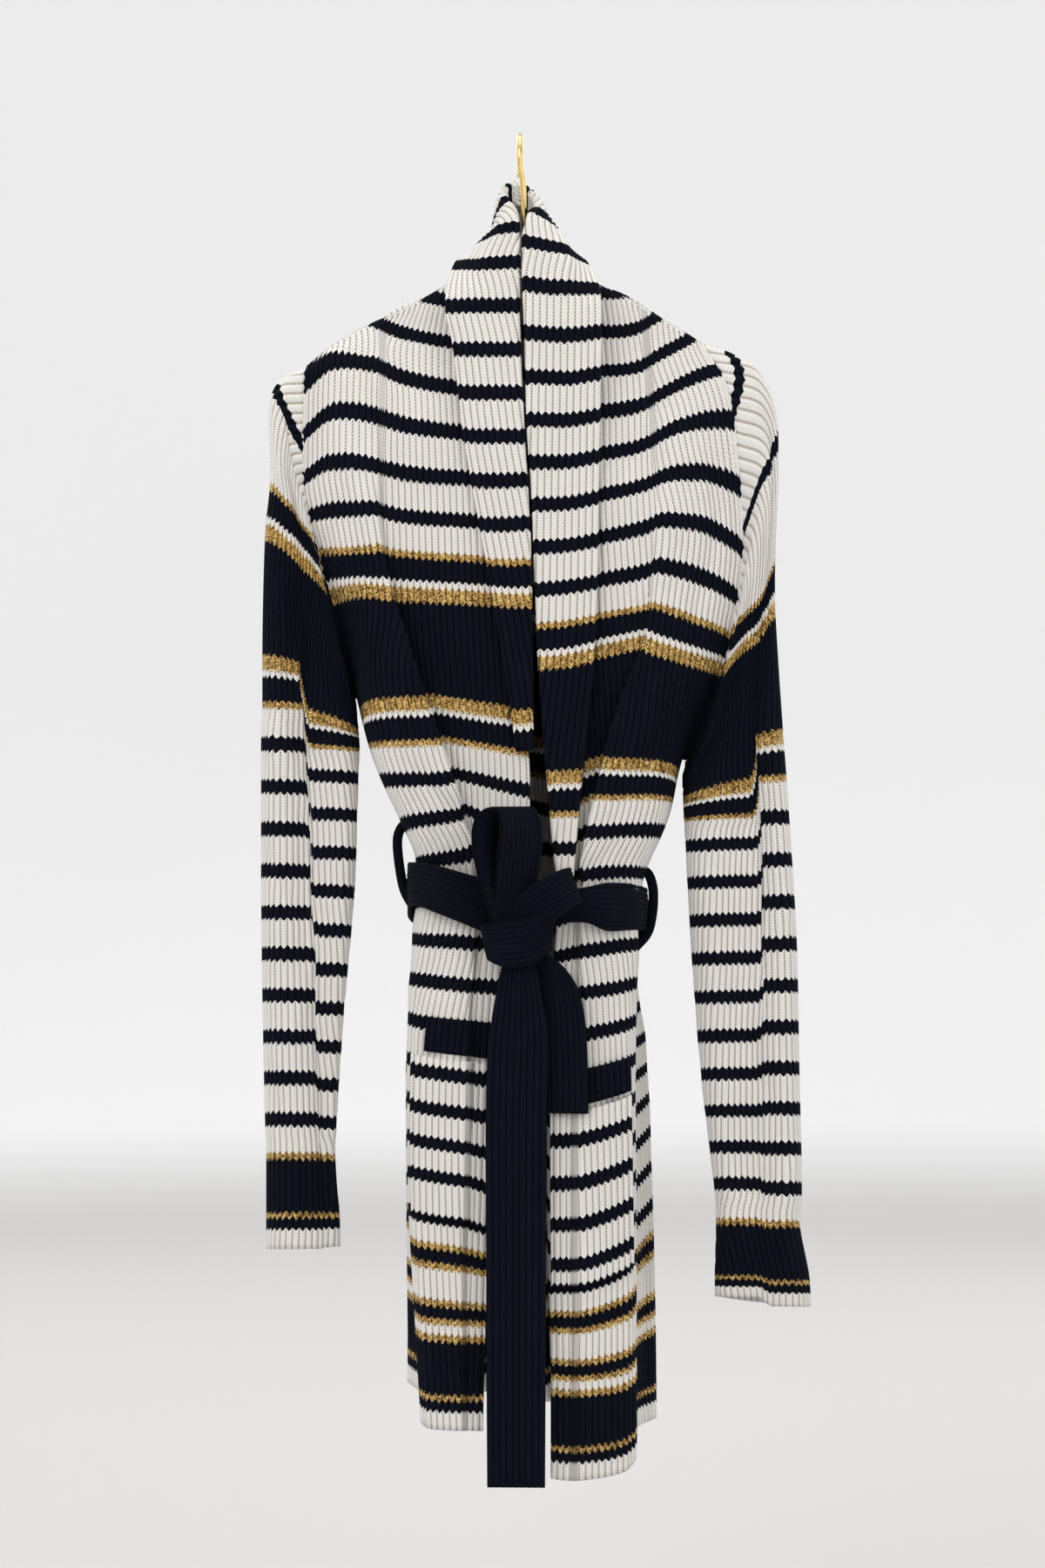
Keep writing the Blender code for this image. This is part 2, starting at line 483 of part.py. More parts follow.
def build_fronts():
    knit = material("knit", ECRU, 0.9)
    navy = material("navy_knit", NAVY, 0.9)
    across = np.array([0, 0.06, 0.2, 0.37, 0.54, 0.575, 0.61, 0.68, 0.75, 0.80, 0.86, 0.93, 1])
    for side, rows, band_edge in (("left", FRONT_LEFT, 0.75), ("right", FRONT_RIGHT, 0.80)):
        top = panel_table(rows, WALES)[0][0]
        down = np.concatenate([
            np.linspace(top, UNDERARM, 12), np.linspace(UNDERARM, BAND_TOP, 10)[1:],
            [(BAND_TOP + BAND_FOOT) / 2, BAND_FOOT, POCKET_TOP],
            np.linspace(POCKET_TOP, POCKET_FOOT, 6)[1:], np.linspace(POCKET_FOOT, HEM, 6)[1:],
        ])
        grid = front(rows, down, across)
        cloth("front_" + side, grid, knit)
        out = normals(grid)
        out *= np.sign(-out[..., 1:2])
        laid = grid + out * LAYER
        for name, high, low, last, look in (
            ("pocket_band_", BAND_TOP, BAND_FOOT, band_edge, navy),
            ("pocket_", POCKET_TOP, POCKET_FOOT, 0.80, knit),
        ):
            courses = (down >= high) & (down <= low)
            wales = (across >= 0.06) & (across <= last)
            cloth(name + side, laid[courses][:, wales], look)


def build_back():
    knots, _ = panel_table([row[:4] for row in BACK], BACK_WALES)
    down = np.concatenate([np.linspace(knots[0], UNDERARM, 9), np.linspace(UNDERARM, HEM, 15)[1:]])
    across = spaced((0, 0.14, 3), (0.14, 0.86, 24), (0.86, 1, 3))
    cloth("back", back(down, across), material("knit", ECRU, 0.9))


def build_sleeves():
    turns = np.arange(18) / 18
    rings = np.concatenate([np.linspace(0, 5, 9), np.linspace(5, 13, 13)[1:]])
    for side, front_rows, rows in (
        ("left", FRONT_LEFT, SLEEVE_LEFT), ("right", FRONT_RIGHT, SLEEVE_RIGHT),
    ):
        last = len(rows)
        at = rings * last / 13
        cloth("sleeve_" + side, sleeve(front_rows, rows, at, turns), material("knit", ECRU, 0.9), around=True)


def build_collar():
    for side, rows, sign in (("left", COLLAR_LEFT, -1), ("right", COLLAR_RIGHT, 1)):
        steps = np.linspace(0, len(rows) - 1, 2 * len(rows) - 1)
        cloth("collar_" + side, collar(rows, sign, steps, 5), material("knit", ECRU, 0.9))


def build_belt():
    navy = material("navy_knit", NAVY, 0.9)
    cloth("belt_band", belt_round(np.linspace(0, len(BELT_ROUND) - 1, 41), np.linspace(0, 1, 5)), navy,
          BELT_WALL)
    for name, rows, steps, lean in (
        ("belt_bow", BELT_BOW, 24, False), ("belt_tail_long", BELT_TAIL_LONG, 14, False),
        ("belt_tail_short", BELT_TAIL_SHORT, 8, False), ("belt_knot", BELT_KNOT, 20, True),
        ("belt_wing", BELT_WING, 9, True),
    ):
        grid = strip(rows, np.linspace(0, len(rows) - 1, steps + 1), np.linspace(0, 1, 5), lean)
        cloth(name, grid, navy, BELT_WALL)
    for name, path in (("belt_loop_left", LOOP_LEFT), ("belt_loop_right", LOOP_RIGHT)):
        line = curve(np.arange(len(path)), [placed(*p) for p in path], np.linspace(0, len(path) - 1, 16))
        tube(name, line, LOOP_WIDE, LOOP_THICK, 8, navy)


def build_hanger():
    outs = np.array([p[0] for p in ARM_TOP], float)
    top = np.array([p[1] for p in ARM_TOP], float)
    deep = np.interp(outs, [p[0] for p in ARM_DEEP], [p[1] for p in ARM_DEEP])
    mesh = bmesh.new()
    sections = []
    for out, high, depth in ([(-o, t, d) for o, t, d in zip(outs[:0:-1], top[:0:-1], deep[:0:-1])]
                             + list(zip(outs, top, deep))):
        half = ARM_THICK / 2
        ring = [(half * math.sin(a), high - depth / 2 + depth / 2 * math.cos(a))
                for a in np.arange(8) * math.pi / 4 + math.pi / 8]
        sections.append([mesh.verts.new(((HANGER_X + out) * MM, y * MM, z * MM)) for y, z in ring])
    for a, b in zip(sections, sections[1:]):
        for k in range(8):
            j = (k + 1) % 8
            mesh.faces.new((a[k], a[j], b[j], b[k]))
    mesh.faces.new(sections[0])
    mesh.faces.new(sections[-1])
    finished(mesh, "hanger_body", material("hanger_wood", WOOD, 0.5))
    middle = HOOK_R + WIRE / 2
    crown = [(0.0, -middle * math.sin(a), -HOOK_R + middle * math.cos(a))
             for a in np.radians(np.linspace(-120, 100, 19))]
    stem = [(2.2, -17.5, -36), (2.7, -14.6, -50), (3.4, -9, -66), (4.0, -3, -82), (4.0, 0, -93),
            (4.0, 0, STEM_FOOT)]
    path = np.array(crown + stem)
    lengths = np.concatenate([[0], np.cumsum(np.linalg.norm(np.diff(path, axis=0), axis=1))])
    line = curve(lengths, path, np.linspace(0, lengths[-1], 30))
    hook(line)


def hook(line):
    """Round brass wire along a line that lies nearly in the Y-Z plane."""
    along = np.gradient(line, axis=0)
    along /= np.linalg.norm(along, axis=1, keepdims=True)
    across = np.array([1.0, 0, 0]) - along * along[:, :1]
    across /= np.linalg.norm(across, axis=1, keepdims=True)
    other = np.cross(along, across)
    mesh = bmesh.new()
    angles = np.arange(8) * 2 * math.pi / 8
    rings = [[mesh.verts.new((p + (a * math.cos(t) + b * math.sin(t)) * WIRE / 2) * MM) for t in angles]
             for p, a, b in zip(line, across, other)]
    for low, high in zip(rings, rings[1:]):
        for k in range(8):
            j = (k + 1) % 8
            mesh.faces.new((low[k], low[j], high[j], high[k]))
    mesh.faces.new(rings[0])
    mesh.faces.new(rings[-1])
    finished(mesh, "hanger_hook", material("hook_brass", BRASS, 0.25, 1.0))


def main():
    for old in list(bpy.data.objects):
        bpy.data.objects.remove(old)
    build_hanger()
    build_fronts()
    build_back()
    build_sleeves()
    build_collar()
    build_belt()


main()
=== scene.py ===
import math

import bmesh
import bpy
import numpy as np
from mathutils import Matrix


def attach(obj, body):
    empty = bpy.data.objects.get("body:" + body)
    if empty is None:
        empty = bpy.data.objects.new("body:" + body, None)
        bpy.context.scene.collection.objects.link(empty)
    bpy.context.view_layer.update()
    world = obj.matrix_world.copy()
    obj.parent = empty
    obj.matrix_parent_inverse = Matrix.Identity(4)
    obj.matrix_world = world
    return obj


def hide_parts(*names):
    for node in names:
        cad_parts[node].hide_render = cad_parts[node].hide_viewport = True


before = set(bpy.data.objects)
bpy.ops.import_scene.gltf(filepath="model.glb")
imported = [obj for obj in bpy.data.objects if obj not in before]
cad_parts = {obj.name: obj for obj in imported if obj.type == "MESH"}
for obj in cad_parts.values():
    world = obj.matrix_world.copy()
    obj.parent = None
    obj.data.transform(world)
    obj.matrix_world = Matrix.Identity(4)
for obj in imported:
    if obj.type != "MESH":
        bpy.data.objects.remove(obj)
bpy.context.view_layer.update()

# Long ribbed cardigan coat with a shawl collar and a tied belt. Sizes are in millimetres until a mesh
# is made, which is in metres. The tables are those of the solids, apart from the bow's, the wing's and
# the carriers'. Left and right are as seen.
MM = 0.001
WALL = 2.8
SEAM = 1.5
LAYER = 3.3
BELT_WALL = 3.0
SIGHT_X, SIGHT_Z = 2.0, -503.0
SIGHT_FAR = 2700.0
BAND_TOP, BAND_FOOT, POCKET_TOP, POCKET_FOOT = 377.0, 405.0, 409.0, 548.0
HEM = 714.5
UNDERARM = 105.0
ARMHOLE_GAP, ARMHOLE_LOW, ARMHOLE_TURN = 2.3, 2.6, 6
SLOPE_FOOT = -125.0
WIRE = 4.8
HOOK_R = 16.4

# Knit
RIB = 5.0             # from one rib to the next
COLLAR_RIB = 5.4
COLUMNS = 4           # mesh columns in a rib
SEAM_WIDE = 4.6       # a sewn seam's ridge
NECK_SEAM_THICK, NECK_SEAM_WIDE = 3.4, 6.0
PLEAT_AT = 0.575      # where a front's long pleat lies, as a share of its lines
PLEAT_HALF = 2.8      # half of the width that takes up a front's spare ribs at its long pleat
SLEEVE_HALF = 170.0   # half of the sleeve's width as knitted
SLEEVE_EVEN = 0.965   # share of half a sleeve that is knitted at an even pitch, from its outer side
BACK_RIBS = 68
BELT_RIBS = 9
BELT_DEEP = 1.1       # from a rib's top to the valley beside it, on the belt
SEAM_SIDES = 10
SLEEVE_TURNS = 240    # points round a sleeve before its columns are laid
SIDE_SWELL = 8.0      # how far the fronts' side faces stand out round
RIB_DEEP = 1.7        # from a rib's top to the bottom of the valley beside it
ROW = 5.6             # from one mesh row to the next along a rib
STITCH = 2.3          # one course of stitches
TOOTH = 3.1           # how far the V of a stitch reaches down the middle of its rib
BACK_ROW = 6.0
POCKET_ROW = 4.6
POCKET_NEAR = 0.045   # a pocket's edge near the opening, as a share of its front's width
POCKET_FAR = 0.80     # its other edge, the same way
BAND_FAR_LEFT = 0.75
PLEAT_SMOOTH = 2.2
COLLAR_EASE = 5.0     # half of the width that takes up a collar's spare ribs, under its roll
ARMHOLE_MIDDLE = -59.5   # the course halfway down an armhole
# The courses of the sleeves' outer and inner sides at the armhole
SLEEVE_TOP = {"left": (-104, 103), "right": (-187, 105)}

WALES = (0.0, 0.54, 0.61, 0.82, 1.0)
FRONT_LEFT = [
    ((-241, -164, -157, -134, -128), (-5, -103, -111, -144, -163), (-84, -140, -143, -161, -176),
     (-5, -2.3, -2.3, -2.3, -2.3)),
    (-125, (-6, -103, -111, -144, -166), (-198, -180, -175, -172, -187), (-31, -21, -20, -13, -9)),
    (-59.5, (-2, -102, -112, -146, -167), (-265, -256, -253, -250, -262), (-38, -36, -35, -28, -18)),
    (0, (0, -100, -109, -137, -156), (-325, -318, -314, -316, -316), (-41, -37, -40, -32, -16)),
    (39, (1, -92, -100, -124, -143), (-364, -362, -359, -356, -360), (-42, -36, -44, -36, -12)),
    (105, (4, -75, -80, -107, -126), (-430, -428, -420, -421, -433), (-44, -34, -50, -42, 2)),
    (183, (8, -51, -54, -88, -107), (-507, -505, -496, -498, -497), (-45, -34, -51, -44, 2)),
    (216, (7, -41, -45, -74, -90), (-541, -534, -524, -529, -534), (-44, -35, -50, -44, 2)),
    (249, (2, -33, -37, -61, -79), (-573, -564, -554, -560, -564), (-43, -36, -49, -42, 2)),
    (282, (-3, -31, -35, -60, -79), (-600, -595, -592, -592, -594), (-41, -37, -45, -39, 2)),
    (315, (-10, -31, -35, -63, -82), (-628, -628, -626, -624, -621), (-44, -41, -48, -42, 2)),
    (381, (-17, -34, -40, -80, -78), (-694, -693, -692, -686, -680), (-50, -51, -56, -42, 2)),
    (447, (-20, -35, -42, -82, -76), (-760, -758, -756, -748, -738), (-54, -55, -60, -44, 0)),
    (546, (-24, -37, -44, -81, -74), (-849, -845, -843, -835, -826), (-58, -59, -63, -46, -2)),
    (645.5, (-27, -38, -44, -75, -70), (-938, -938, -938, -933, -918), (-60, -61, -65, -50, -4)),
    (714.5, (-29, -39, -44, -71, -66), (-1008, -1008, -1008, -1005, -986), (-62, -63, -66, -52, -6)),
]
FRONT_RIGHT = [
    ((-283, -240, -231, -196, -180), (6, 93, 100, 128, 141), (-88, -131, -135, -152, -160),
     (-5, -2.3, -2.3, -2.3, -2.3)),
    (-125.5, (10, 101, 107, 141, 164), (-250, -235, -231, -218, -216), (-33, -26, -25, -21, -14)),
    (-59.5, (13, 103, 109, 145, 172), (-318, -299, -296, -299, -316), (-38, -37, -37, -32, -16)),
    (0, (17, 99, 105, 141, 163), (-375, -364, -359, -371, -381), (-41, -37, -42, -34, -14)),
    (39, (20, 89, 96, 131, 154), (-413, -403, -397, -409, -416), (-42, -36, -46, -38, -10)),
    (105, (25, 65, 71, 103, 126), (-479, -477, -468, -471, -481), (-44, -35, -52, -44, 2)),
    (183, (30, 48, 54, 89, 111), (-553, -549, -539, -537, -537), (-45, -36, -51, -44, 2)),
    (216, (31, 43, 47, 76, 96), (-583, -579, -573, -570, -571), (-43, -37, -49, -42, 2)),
    (249, (29, 41, 46, 74, 91), (-609, -605, -602, -598, -597), (-42, -39, -46, -40, 2)),
    (315, (24, 39, 46, 84, 83), (-667, -666, -665, -658, -653), (-50, -50, -54, -40, 2)),
    (414, (21, 37, 46, 84, 78), (-764, -764, -763, -749, -738), (-56, -57, -61, -44, 0)),
    (546, (22, 37, 46, 85, 78), (-894, -894, -894, -875, -856), (-58, -60, -63, -46, -2)),
    (645.5, (24, 37, 45, 84, 78), (-978, -980, -980, -971, -946), (-60, -62, -65, -50, -4)),
    (714.5, (24, 37, 45, 84, 78), (-1045, -1047, -1047, -1036, -1010), (-62, -64, -66, -52, -6)),
]
BACK_WALES = (0.0, 0.14, 0.5, 0.86, 1.0)
BACK_FOLDS = 4
BACK = [
    ((-128, -190, -226, -262, -180), (-163, -62, 2, 66, 141), (-176, -120, -114, -116, -160),
     (2.3, 2.3, 16, 2.3, 2.3), 0),
    (-125, (-166, -130, 2, 130, 164), (-187, -178, -214, -220, -216), (9, 22, 27, 25, 14), 0),
    (-59.5, (-167, -130, 2, 134, 172), (-262, -256, -285, -302, -316), (18, 32, 36, 33, 16), 1),
    (0, (-156, -124, 2, 128, 163), (-316, -320, -345, -370, -381), (16, 36, 42, 36, 14), 2),
    (UNDERARM, (-126, -104, 2, 106, 126), (-433, -428, -450, -473, -481), (2, 42, 50, 42, 2), 6),
    (183, (-107, -90, 4, 98, 111), (-497, -497, -518, -538, -537), (2, 44, 53, 44, 2), 11),
    (249, (-79, -74, 4, 83, 91), (-564, -566, -580, -598, -597), (2, 42, 50, 42, 2), 15),
    (315, (-82, -78, 4, 88, 83), (-621, -620, -640, -650, -653), (2, 44, 54, 44, 2), 15),
    (381, (-78, -84, 4, 96, 80), (-680, -670, -692, -698, -706), (2, 46, 58, 46, 1), 14),
    (447, (-76, -87, 3, 99, 78), (-738, -722, -742, -746, -768), (0, 48, 62, 48, 0), 14),
    (546, (-74, -87, 1, 102, 78), (-826, -808, -824, -828, -856), (-2, 50, 66, 50, -2), 13),
    (645.5, (-70, -86, 0, 104, 78), (-918, -901, -916, -929, -946), (-4, 52, 69, 52, -4), 12),
    (714.5, (-66, -86, 0, 105, 78), (-986, -969, -984, -997, -1010), (-6, 54, 72, 54, -6), 12),
]
SLEEVE_LEFT = [
    (-75, 107, -184, -190, -129, -441, -17, 23, 0),
    (-45, 109, -193, -216, -129, -445, -10, 27, 1),
    (0, 111, -193, -265, -129, -449, -4, 30, 4),
    (39, 114, -197, -311, -129, -453, 0, 32, 9),
    (118, 118, -199, -400, -128, -459, 0, 32, 15),
    (156.5, 156.5, -199, -442, -127, -477, 0, 31, 18),
    (183, 183, -200, -470, -128, -497, 0, 31, 19),
    (282, 282, -200, -569, -131, -586, 0, 30, 18),
    (381, 381, -199, -666, -139, -677, 0, 28, 15),
    (480, 480, -197, -763, -145, -766, 0, 26, 11),
    (506, 506, -196, -789, -146, -790, 0, 25, 8),
    (552.5, 552.5, -196, -836, -143, -836, 0, 25, 6),
    (583, 583, -196, -866, -142, -864, 0, 26, 6),
]
SLEEVE_RIGHT = [
    (-150, 107, 170, -172, 131, -489, 32, 22, 0),
    (-115, 109, 189, -196, 130, -493, 25, 26, 0),
    (-80, 111, 194, -236, 129, -497, 21, 28, 2),
    (0, 113, 195, -318, 129, -501, 14, 31, 5),
    (39, 115, 197, -369, 129, -505, 7, 33, 10),
    (118, 118, 203, -458, 129, -512, 0, 33, 15),
    (156.5, 156.5, 206, -499, 130, -531, 0, 32, 18),
    (183, 183, 208, -527, 131, -550, 0, 32, 20),
    (282, 282, 214, -626, 136, -638, 0, 31, 19),
    (381, 381, 216, -723, 143, -728, 0, 29, 17),
    (480, 480, 218, -817, 153, -813, 0, 27, 14),
    (506, 506, 216, -842, 155, -840, 0, 26, 11),
    (552.5, 552.5, 224, -889, 154, -885, 0, 28, 10),
    (583, 583, 225, -911, 154, -903, 0, 28, 10),
]
CREASE_WIDE = 0.08
# Where round each sleeve its long crease lies (0 outer side, 0.5 inner side), by course
CREASE_COURSES = (118, 282, 400, 480)
CREASE_LEFT = (0.245, 0.275, 0.31, 0.34)
CREASE_RIGHT = (0.205, 0.22, 0.24, 0.25)
LIP = 9.0             # how far the crease closes under its outer lip
SLOW_DROP, QUICK_DROP = 1.6, 1.2
CAP_DROP_LEFT, CAP_DROP_RIGHT = 1.95, 1.5   # how the courses run from outer to inner side
COLLAR_LEFT = [
    (150, 0, (10, -476, -51), (4, -477, -53), (-3, -478, -52), 4),
    (105, 0, (10, -430, -50.5), (0, -430, -52), (-9, -430, -51), 5),
    (39, 0, (9, -364, -48.5), (-6, -364, -50), (-20, -363, -47), 6),
    (-26.5, 0, (7, -298, -46), (-12, -299, -48), (-32, -299, -45), 6),
    (-92, 0, (3, -231, -41.5), (-20, -231, -43.5), (-44, -230, -40.5), 6),
    (-158, 0, (0, -163, -34), (-27, -163, -37), (-52, -163, -33), 6),
    (-191, 0, (-1, -129, -30), (-30, -129, -33), (-58, -130, -27), 7),
    (-224, 6, (-1.2, -95, -25), (-28, -96, -26), (-50, -98, 2), 12),
    (-258, 25, (-1.4, -67, -19), (-21, -71, -18), (-36, -88, 10), 13),
    (-275, 40, (-5, -54, -12), (-17, -62, -10), (-36, -94, 18), 14),
    (-290, 60, (-10, -47, -4), (-17, -57, -4), (-34, -100, 25), 14),
    (-304, 95, (-13, -42, 6), (-18, -55, 9), (-31, -107, 33), 14),
    (-318, 140, (-11, -37, 15), (-15, -54, 23), (-21, -113, 40), 14),
    (-330, 175, (-6.2, -35, 19), (-6.8, -56, 30), (-7.7, -118, 43), 14),
]
COLLAR_RIGHT = [
    (215, 0, (30, -578, -51), (36, -578, -52), (42, -578, -51), 4),
    (183, 0, (26, -552, -51), (34, -552, -52), (44, -552, -51), 5),
    (105, 0, (20, -479, -50.5), (36, -478, -51), (51, -477, -50), 6),
    (39, 0, (15, -413, -48.5), (37, -411, -49), (58, -406, -46), 6),
    (-26.5, 0, (12.4, -350, -46), (36, -348, -48), (61, -344, -45), 6),
    (-92, 0, (10, -284, -44), (37, -283, -46), (62, -278, -43), 6),
    (-158, 0, (6, -218, -40), (35, -218, -43), (63, -214, -39), 6),
    (-224, 0, (4.2, -150, -35), (36, -152, -38), (64, -149, -34), 6),
    (-257, 0, (3.4, -112, -31), (34, -115, -32), (62, -116, -20), 9),
    (-290, 10, (3.4, -79, -25), (31, -85, -24), (52, -97, 6), 12),
    (-316, 35, (8, -58, -17), (24, -68, -12), (42, -94, 18), 13),
    (-330, 60, (13, -53, -6), (22, -61, -3), (38, -100, 26), 14),
    (-342, 95, (12, -46, 6), (19, -56, 10), (31, -107, 34), 14),
    (-354, 140, (5, -38.5, 15), (12, -54, 23), (18, -113, 40), 14),
    (-366, 175, (-2.4, -35, 19), (-1.8, -56, 30), (-0.9, -118, 43), 14),
]
ROLL_STEPS = 8
ROLL_R = 2.3
BELT_ROUND = [
    (-23, -57, -578, -621, 2), (-42, -59, -573, -613, 2), (-64, -53, -567, -604, 2),
    (-81, -32, -564, -598, 1), (-86, 0, -564, -600, 1), (-86, 30, -566, -606, 0),
    (-78, 57.5, -572, -614, 0), (-42, 75, -580, -624, 0), (4, 79, -586, -630, 0),
    (52, 75, -588, -632, 0), (86, 57.5, -586, -630, 0), (98, 30, -584, -624, 1),
    (97.5, 0, -584, -617, 1), (88, -34, -581, -617, 3), (70, -54, -580, -618, 4),
    (54, -58, -583, -612, 4), (44, -60, -585, -611, 3), (27.4, -61.3, -592, -612, 0.4),
]
BELT_BOW = [
    (-10, -624, -69, -36, 24), (-12, -608, -71, -42, 28), (-16, -590, -76, -50, 36),
    (-21, -570, -81, -54, 41), (-24.5, -549, -84, -56, 43), (-22.5, -533, -85, -54, 43),
    (-14, -524, -85, -50, 43), (-5, -522.5, -85, -48, 43), (0, -530, -85, -46, 43),
    (1, -543, -84, -44, 43), (-0.5, -560, -82, -40, 42), (-3, -580, -78, -34, 37),
    (-6, -596, -74, -28, 33), (-8, -610, -72, -24, 29), (-8, -624, -70, -22, 26),
]
BELT_TAIL_LONG = [
    (-1, -641, -75.1, 0, 24), (-1, -657, -75, 0, 31), (-1, -690, -74, 2, 42), (-2, -720, -74, 2, 46),
    (-3, -780, -75, 0, 46.5), (-3, -860, -75, -2, 45.5), (-3, -960, -75, 0, 45), (-3, -1052, -75, 2, 44),
]
BELT_TAIL_SHORT = [
    (9.6, -632, -70, 6, 16), (23, -650, -67.5, 16, 29), (29, -672, -66.5, 16, 38),
    (31, -710, -67, 12, 42), (32, -760, -67, 10, 42),
]
BELT_KNOT = [
    (25, -619, -64, 8, 26), (23, -619, -73, 6, 30), (9, -625, -80, 0, 36), (-10, -628, -80, -6, 36),
    (-25, -627, -73, -10, 28), (-28, -624, -60.3, -12, 22),
]
BELT_WING = [
    (-8, -614, -73.5, -38, 22), (4, -605, -75.5, -36, 28), (17, -596, -80, -32, 31),
    (29, -589, -80, -28, 31), (38, -584, -76, -22, 30), (43, -582, -68, -18, 28),
]
LOOP_LEFT = [(-83, -535, 0), (-90, -534.5, 0), (-95, -539, 0), (-97, -549, 0), (-95.5, -566, 0),
             (-91.5, -586, 0), (-83, -601, 0)]
LOOP_RIGHT = [(92, -571, 0), (98, -571, 0), (103, -576, 0), (105.5, -589, 0), (104.8, -603, 0),
              (101, -619, 0), (91, -631, 0)]
LOOP_DEEP, LOOP_WIDE, LOOP_INWARD = 7.0, 7.6, 1.3

# Creases. Each row: from course, from knit (mm across from the piece's first edge), to course, to
# knit, width and height, below 0 where the cloth sinks.
FRONT_MARKS = {
    "left": [
        (-140, 138, 60, 92, 9, 2.6), (-90, 152, 90, 112, 8, -2.4), (-170, 60, -60, 42, 14, 1.8),
        (-20, 58, 130, 34, 12, -1.8), (40, 96, 190, 60, 9, 2.2), (120, 18, 250, 12, 9, -1.8),
        (170, 120, 250, 92, 7, 2.0), (205, 84, 262, 40, 6, -2.0), (285, 20, 380, 34, 8, 1.8),
        (300, 118, 420, 104, 8, -1.8), (330, 60, 560, 66, 14, 1.6), (460, 128, 700, 132, 10, -2.0),
        (520, 24, 712, 20, 10, 1.7),
    ],
    "right": [
        (-135, 130, 10, 86, 9, 3.0), (0, 88, 110, 60, 8, 2.4), (-110, 150, 60, 124, 9, -2.6),
        (-210, 50, -70, 38, 13, 1.7), (-60, 44, 90, 30, 12, -1.8), (70, 110, 180, 78, 8, 2.2),
        (120, 16, 240, 11, 8, -1.8), (190, 104, 262, 72, 7, -2.0), (215, 66, 268, 34, 6, 1.9),
        (290, 26, 400, 38, 9, 1.8), (310, 112, 470, 98, 8, -1.9), (420, 62, 640, 56, 13, 1.6),
        (560, 118, 712, 124, 9, 1.9),
    ],
}
BACK_MARKS = [
    (-90, 70, 120, 96, 13, -2.4), (-100, 268, 100, 240, 14, -2.2), (-60, 120, 60, 150, 16, 2.0),
    (-40, 226, 80, 196, 15, 1.8), (90, 60, 240, 112, 10, 2.6), (110, 280, 246, 226, 10, 2.4),
    (150, 150, 262, 168, 9, -2.2), (205, 96, 262, 44, 7, -2.2), (212, 236, 264, 296, 7, -2.0),
    (285, 60, 420, 78, 9, 2.0), (280, 286, 410, 262, 9, 1.8), (300, 150, 520, 158, 13, -1.8),
    (430, 220, 690, 232, 12, 1.8), (500, 96, 712, 90, 11, -1.8), (560, 300, 712, 306, 9, 1.8),
]
SLEEVE_MARKS = {
    "left": [
        (-60, 22, 40, 40, 9, 2.0), (60, 52, 150, 30, 8, -2.2), (170, 20, 240, 54, 7, 1.9),
        (262, 12, 318, 44, 6, -1.8), (330, 60, 420, 38, 7, 1.8), (440, 18, 505, 34, 6, -1.6),
        (40, 306, 170, 322, 9, 2.0), (150, 286, 250, 312, 8, -2.2), (290, 300, 380, 326, 7, 1.9),
        (420, 292, 500, 312, 7, -1.6),
    ],
    "right": [
        (-130, 30, -20, 48, 9, 2.2), (20, 44, 130, 26, 8, -2.2), (150, 24, 260, 46, 7, 2.0),
        (250, 14, 300, 48, 6, -1.8), (340, 52, 430, 30, 7, 1.8), (450, 16, 508, 38, 6, -1.7),
        (0, 300, 150, 324, 9, -2.2), (170, 310, 262, 290, 8, 2.0), (300, 322, 400, 298, 7, -1.8),
        (430, 296, 500, 318, 7, 1.6),
    ],
}
COLLAR_MARKS = {
    "left": [(-320, 40, -210, 26, 8, 1.6), (-180, 18, -60, 30, 10, -1.4), (-40, 12, 90, 18, 9, 1.3)],
    "right": [(-350, 36, -230, 30, 8, 1.6), (-200, 24, -70, 36, 10, -1.4), (-50, 14, 110, 22, 9, 1.4)],
}

# Yarn of each band of the body, from the course where it starts (mm below the first gold stripe)
BODY_BANDS = [
    (-400, "ecru"), (0, "gold"), (5.5, "navy"), (22.5, "ecru"), (28, "gold"), (39, "navy"),
    (118, "gold"), (128.5, "ecru"), (133, "navy"), (151, "gold"), (156.5, "ecru"), (567, "gold"),
    (572.5, "navy"),
    (583, "gold"), (588.5, "ecru"), (612.5, "gold"), (617.5, "navy"), (627, "gold"), (632, "ecru"),
    (639.5, "gold"), (645, "navy"), (686, "gold"), (690, "navy"), (698.5, "ecru"),
]
SLEEVE_BANDS = BODY_BANDS[:11] + [
    (506, "gold"), (511, "navy"), (552.5, "gold"), (556.5, "navy"), (565.5, "ecru"),
]
STRIPE = 11.0         # a navy stripe's width
REPEAT = 33.0         # from one navy stripe to the next
# Runs of repeated navy stripes: from and to course, and the middle of one of them
BODY_RUNS = [(-400, -10, -26.5), (165, 562, 183)]
SLEEVE_RUNS = [(165, 496, 183)]
CAP_LEFT = (-72,)     # the middles of single navy stripes on the sleeves' caps
CAP_RIGHT = (-163, -92)
POCKET_LEFT_STRIPES = (420, 450, 480, 510)
POCKET_RIGHT_STRIPES = (430, 463, 495, 527)
POCKET_BANDS = [(-400, "ecru"), (543.5, "navy")]

# The darker colour of each yarn below is painted shade for the rib valleys and stitch grooves; the
# lightest gold is a painted glint.
ECRU_YARN = (0.885, 0.865, 0.84)
ECRU_PAINTED_SHADE = (0.36, 0.29, 0.21)
NAVY_YARN = (0.0045, 0.0062, 0.0145)
NAVY_PAINTED_SHADE = (0.0004, 0.0005, 0.0012)
GOLD_PAINTED_GLINT = (1.0, 0.74, 0.30)
GOLD_YARN = (0.50, 0.28, 0.07)
GOLD_PAINTED_SHADE = (0.10, 0.05, 0.012)
WOOD = (0.62, 0.45, 0.28)

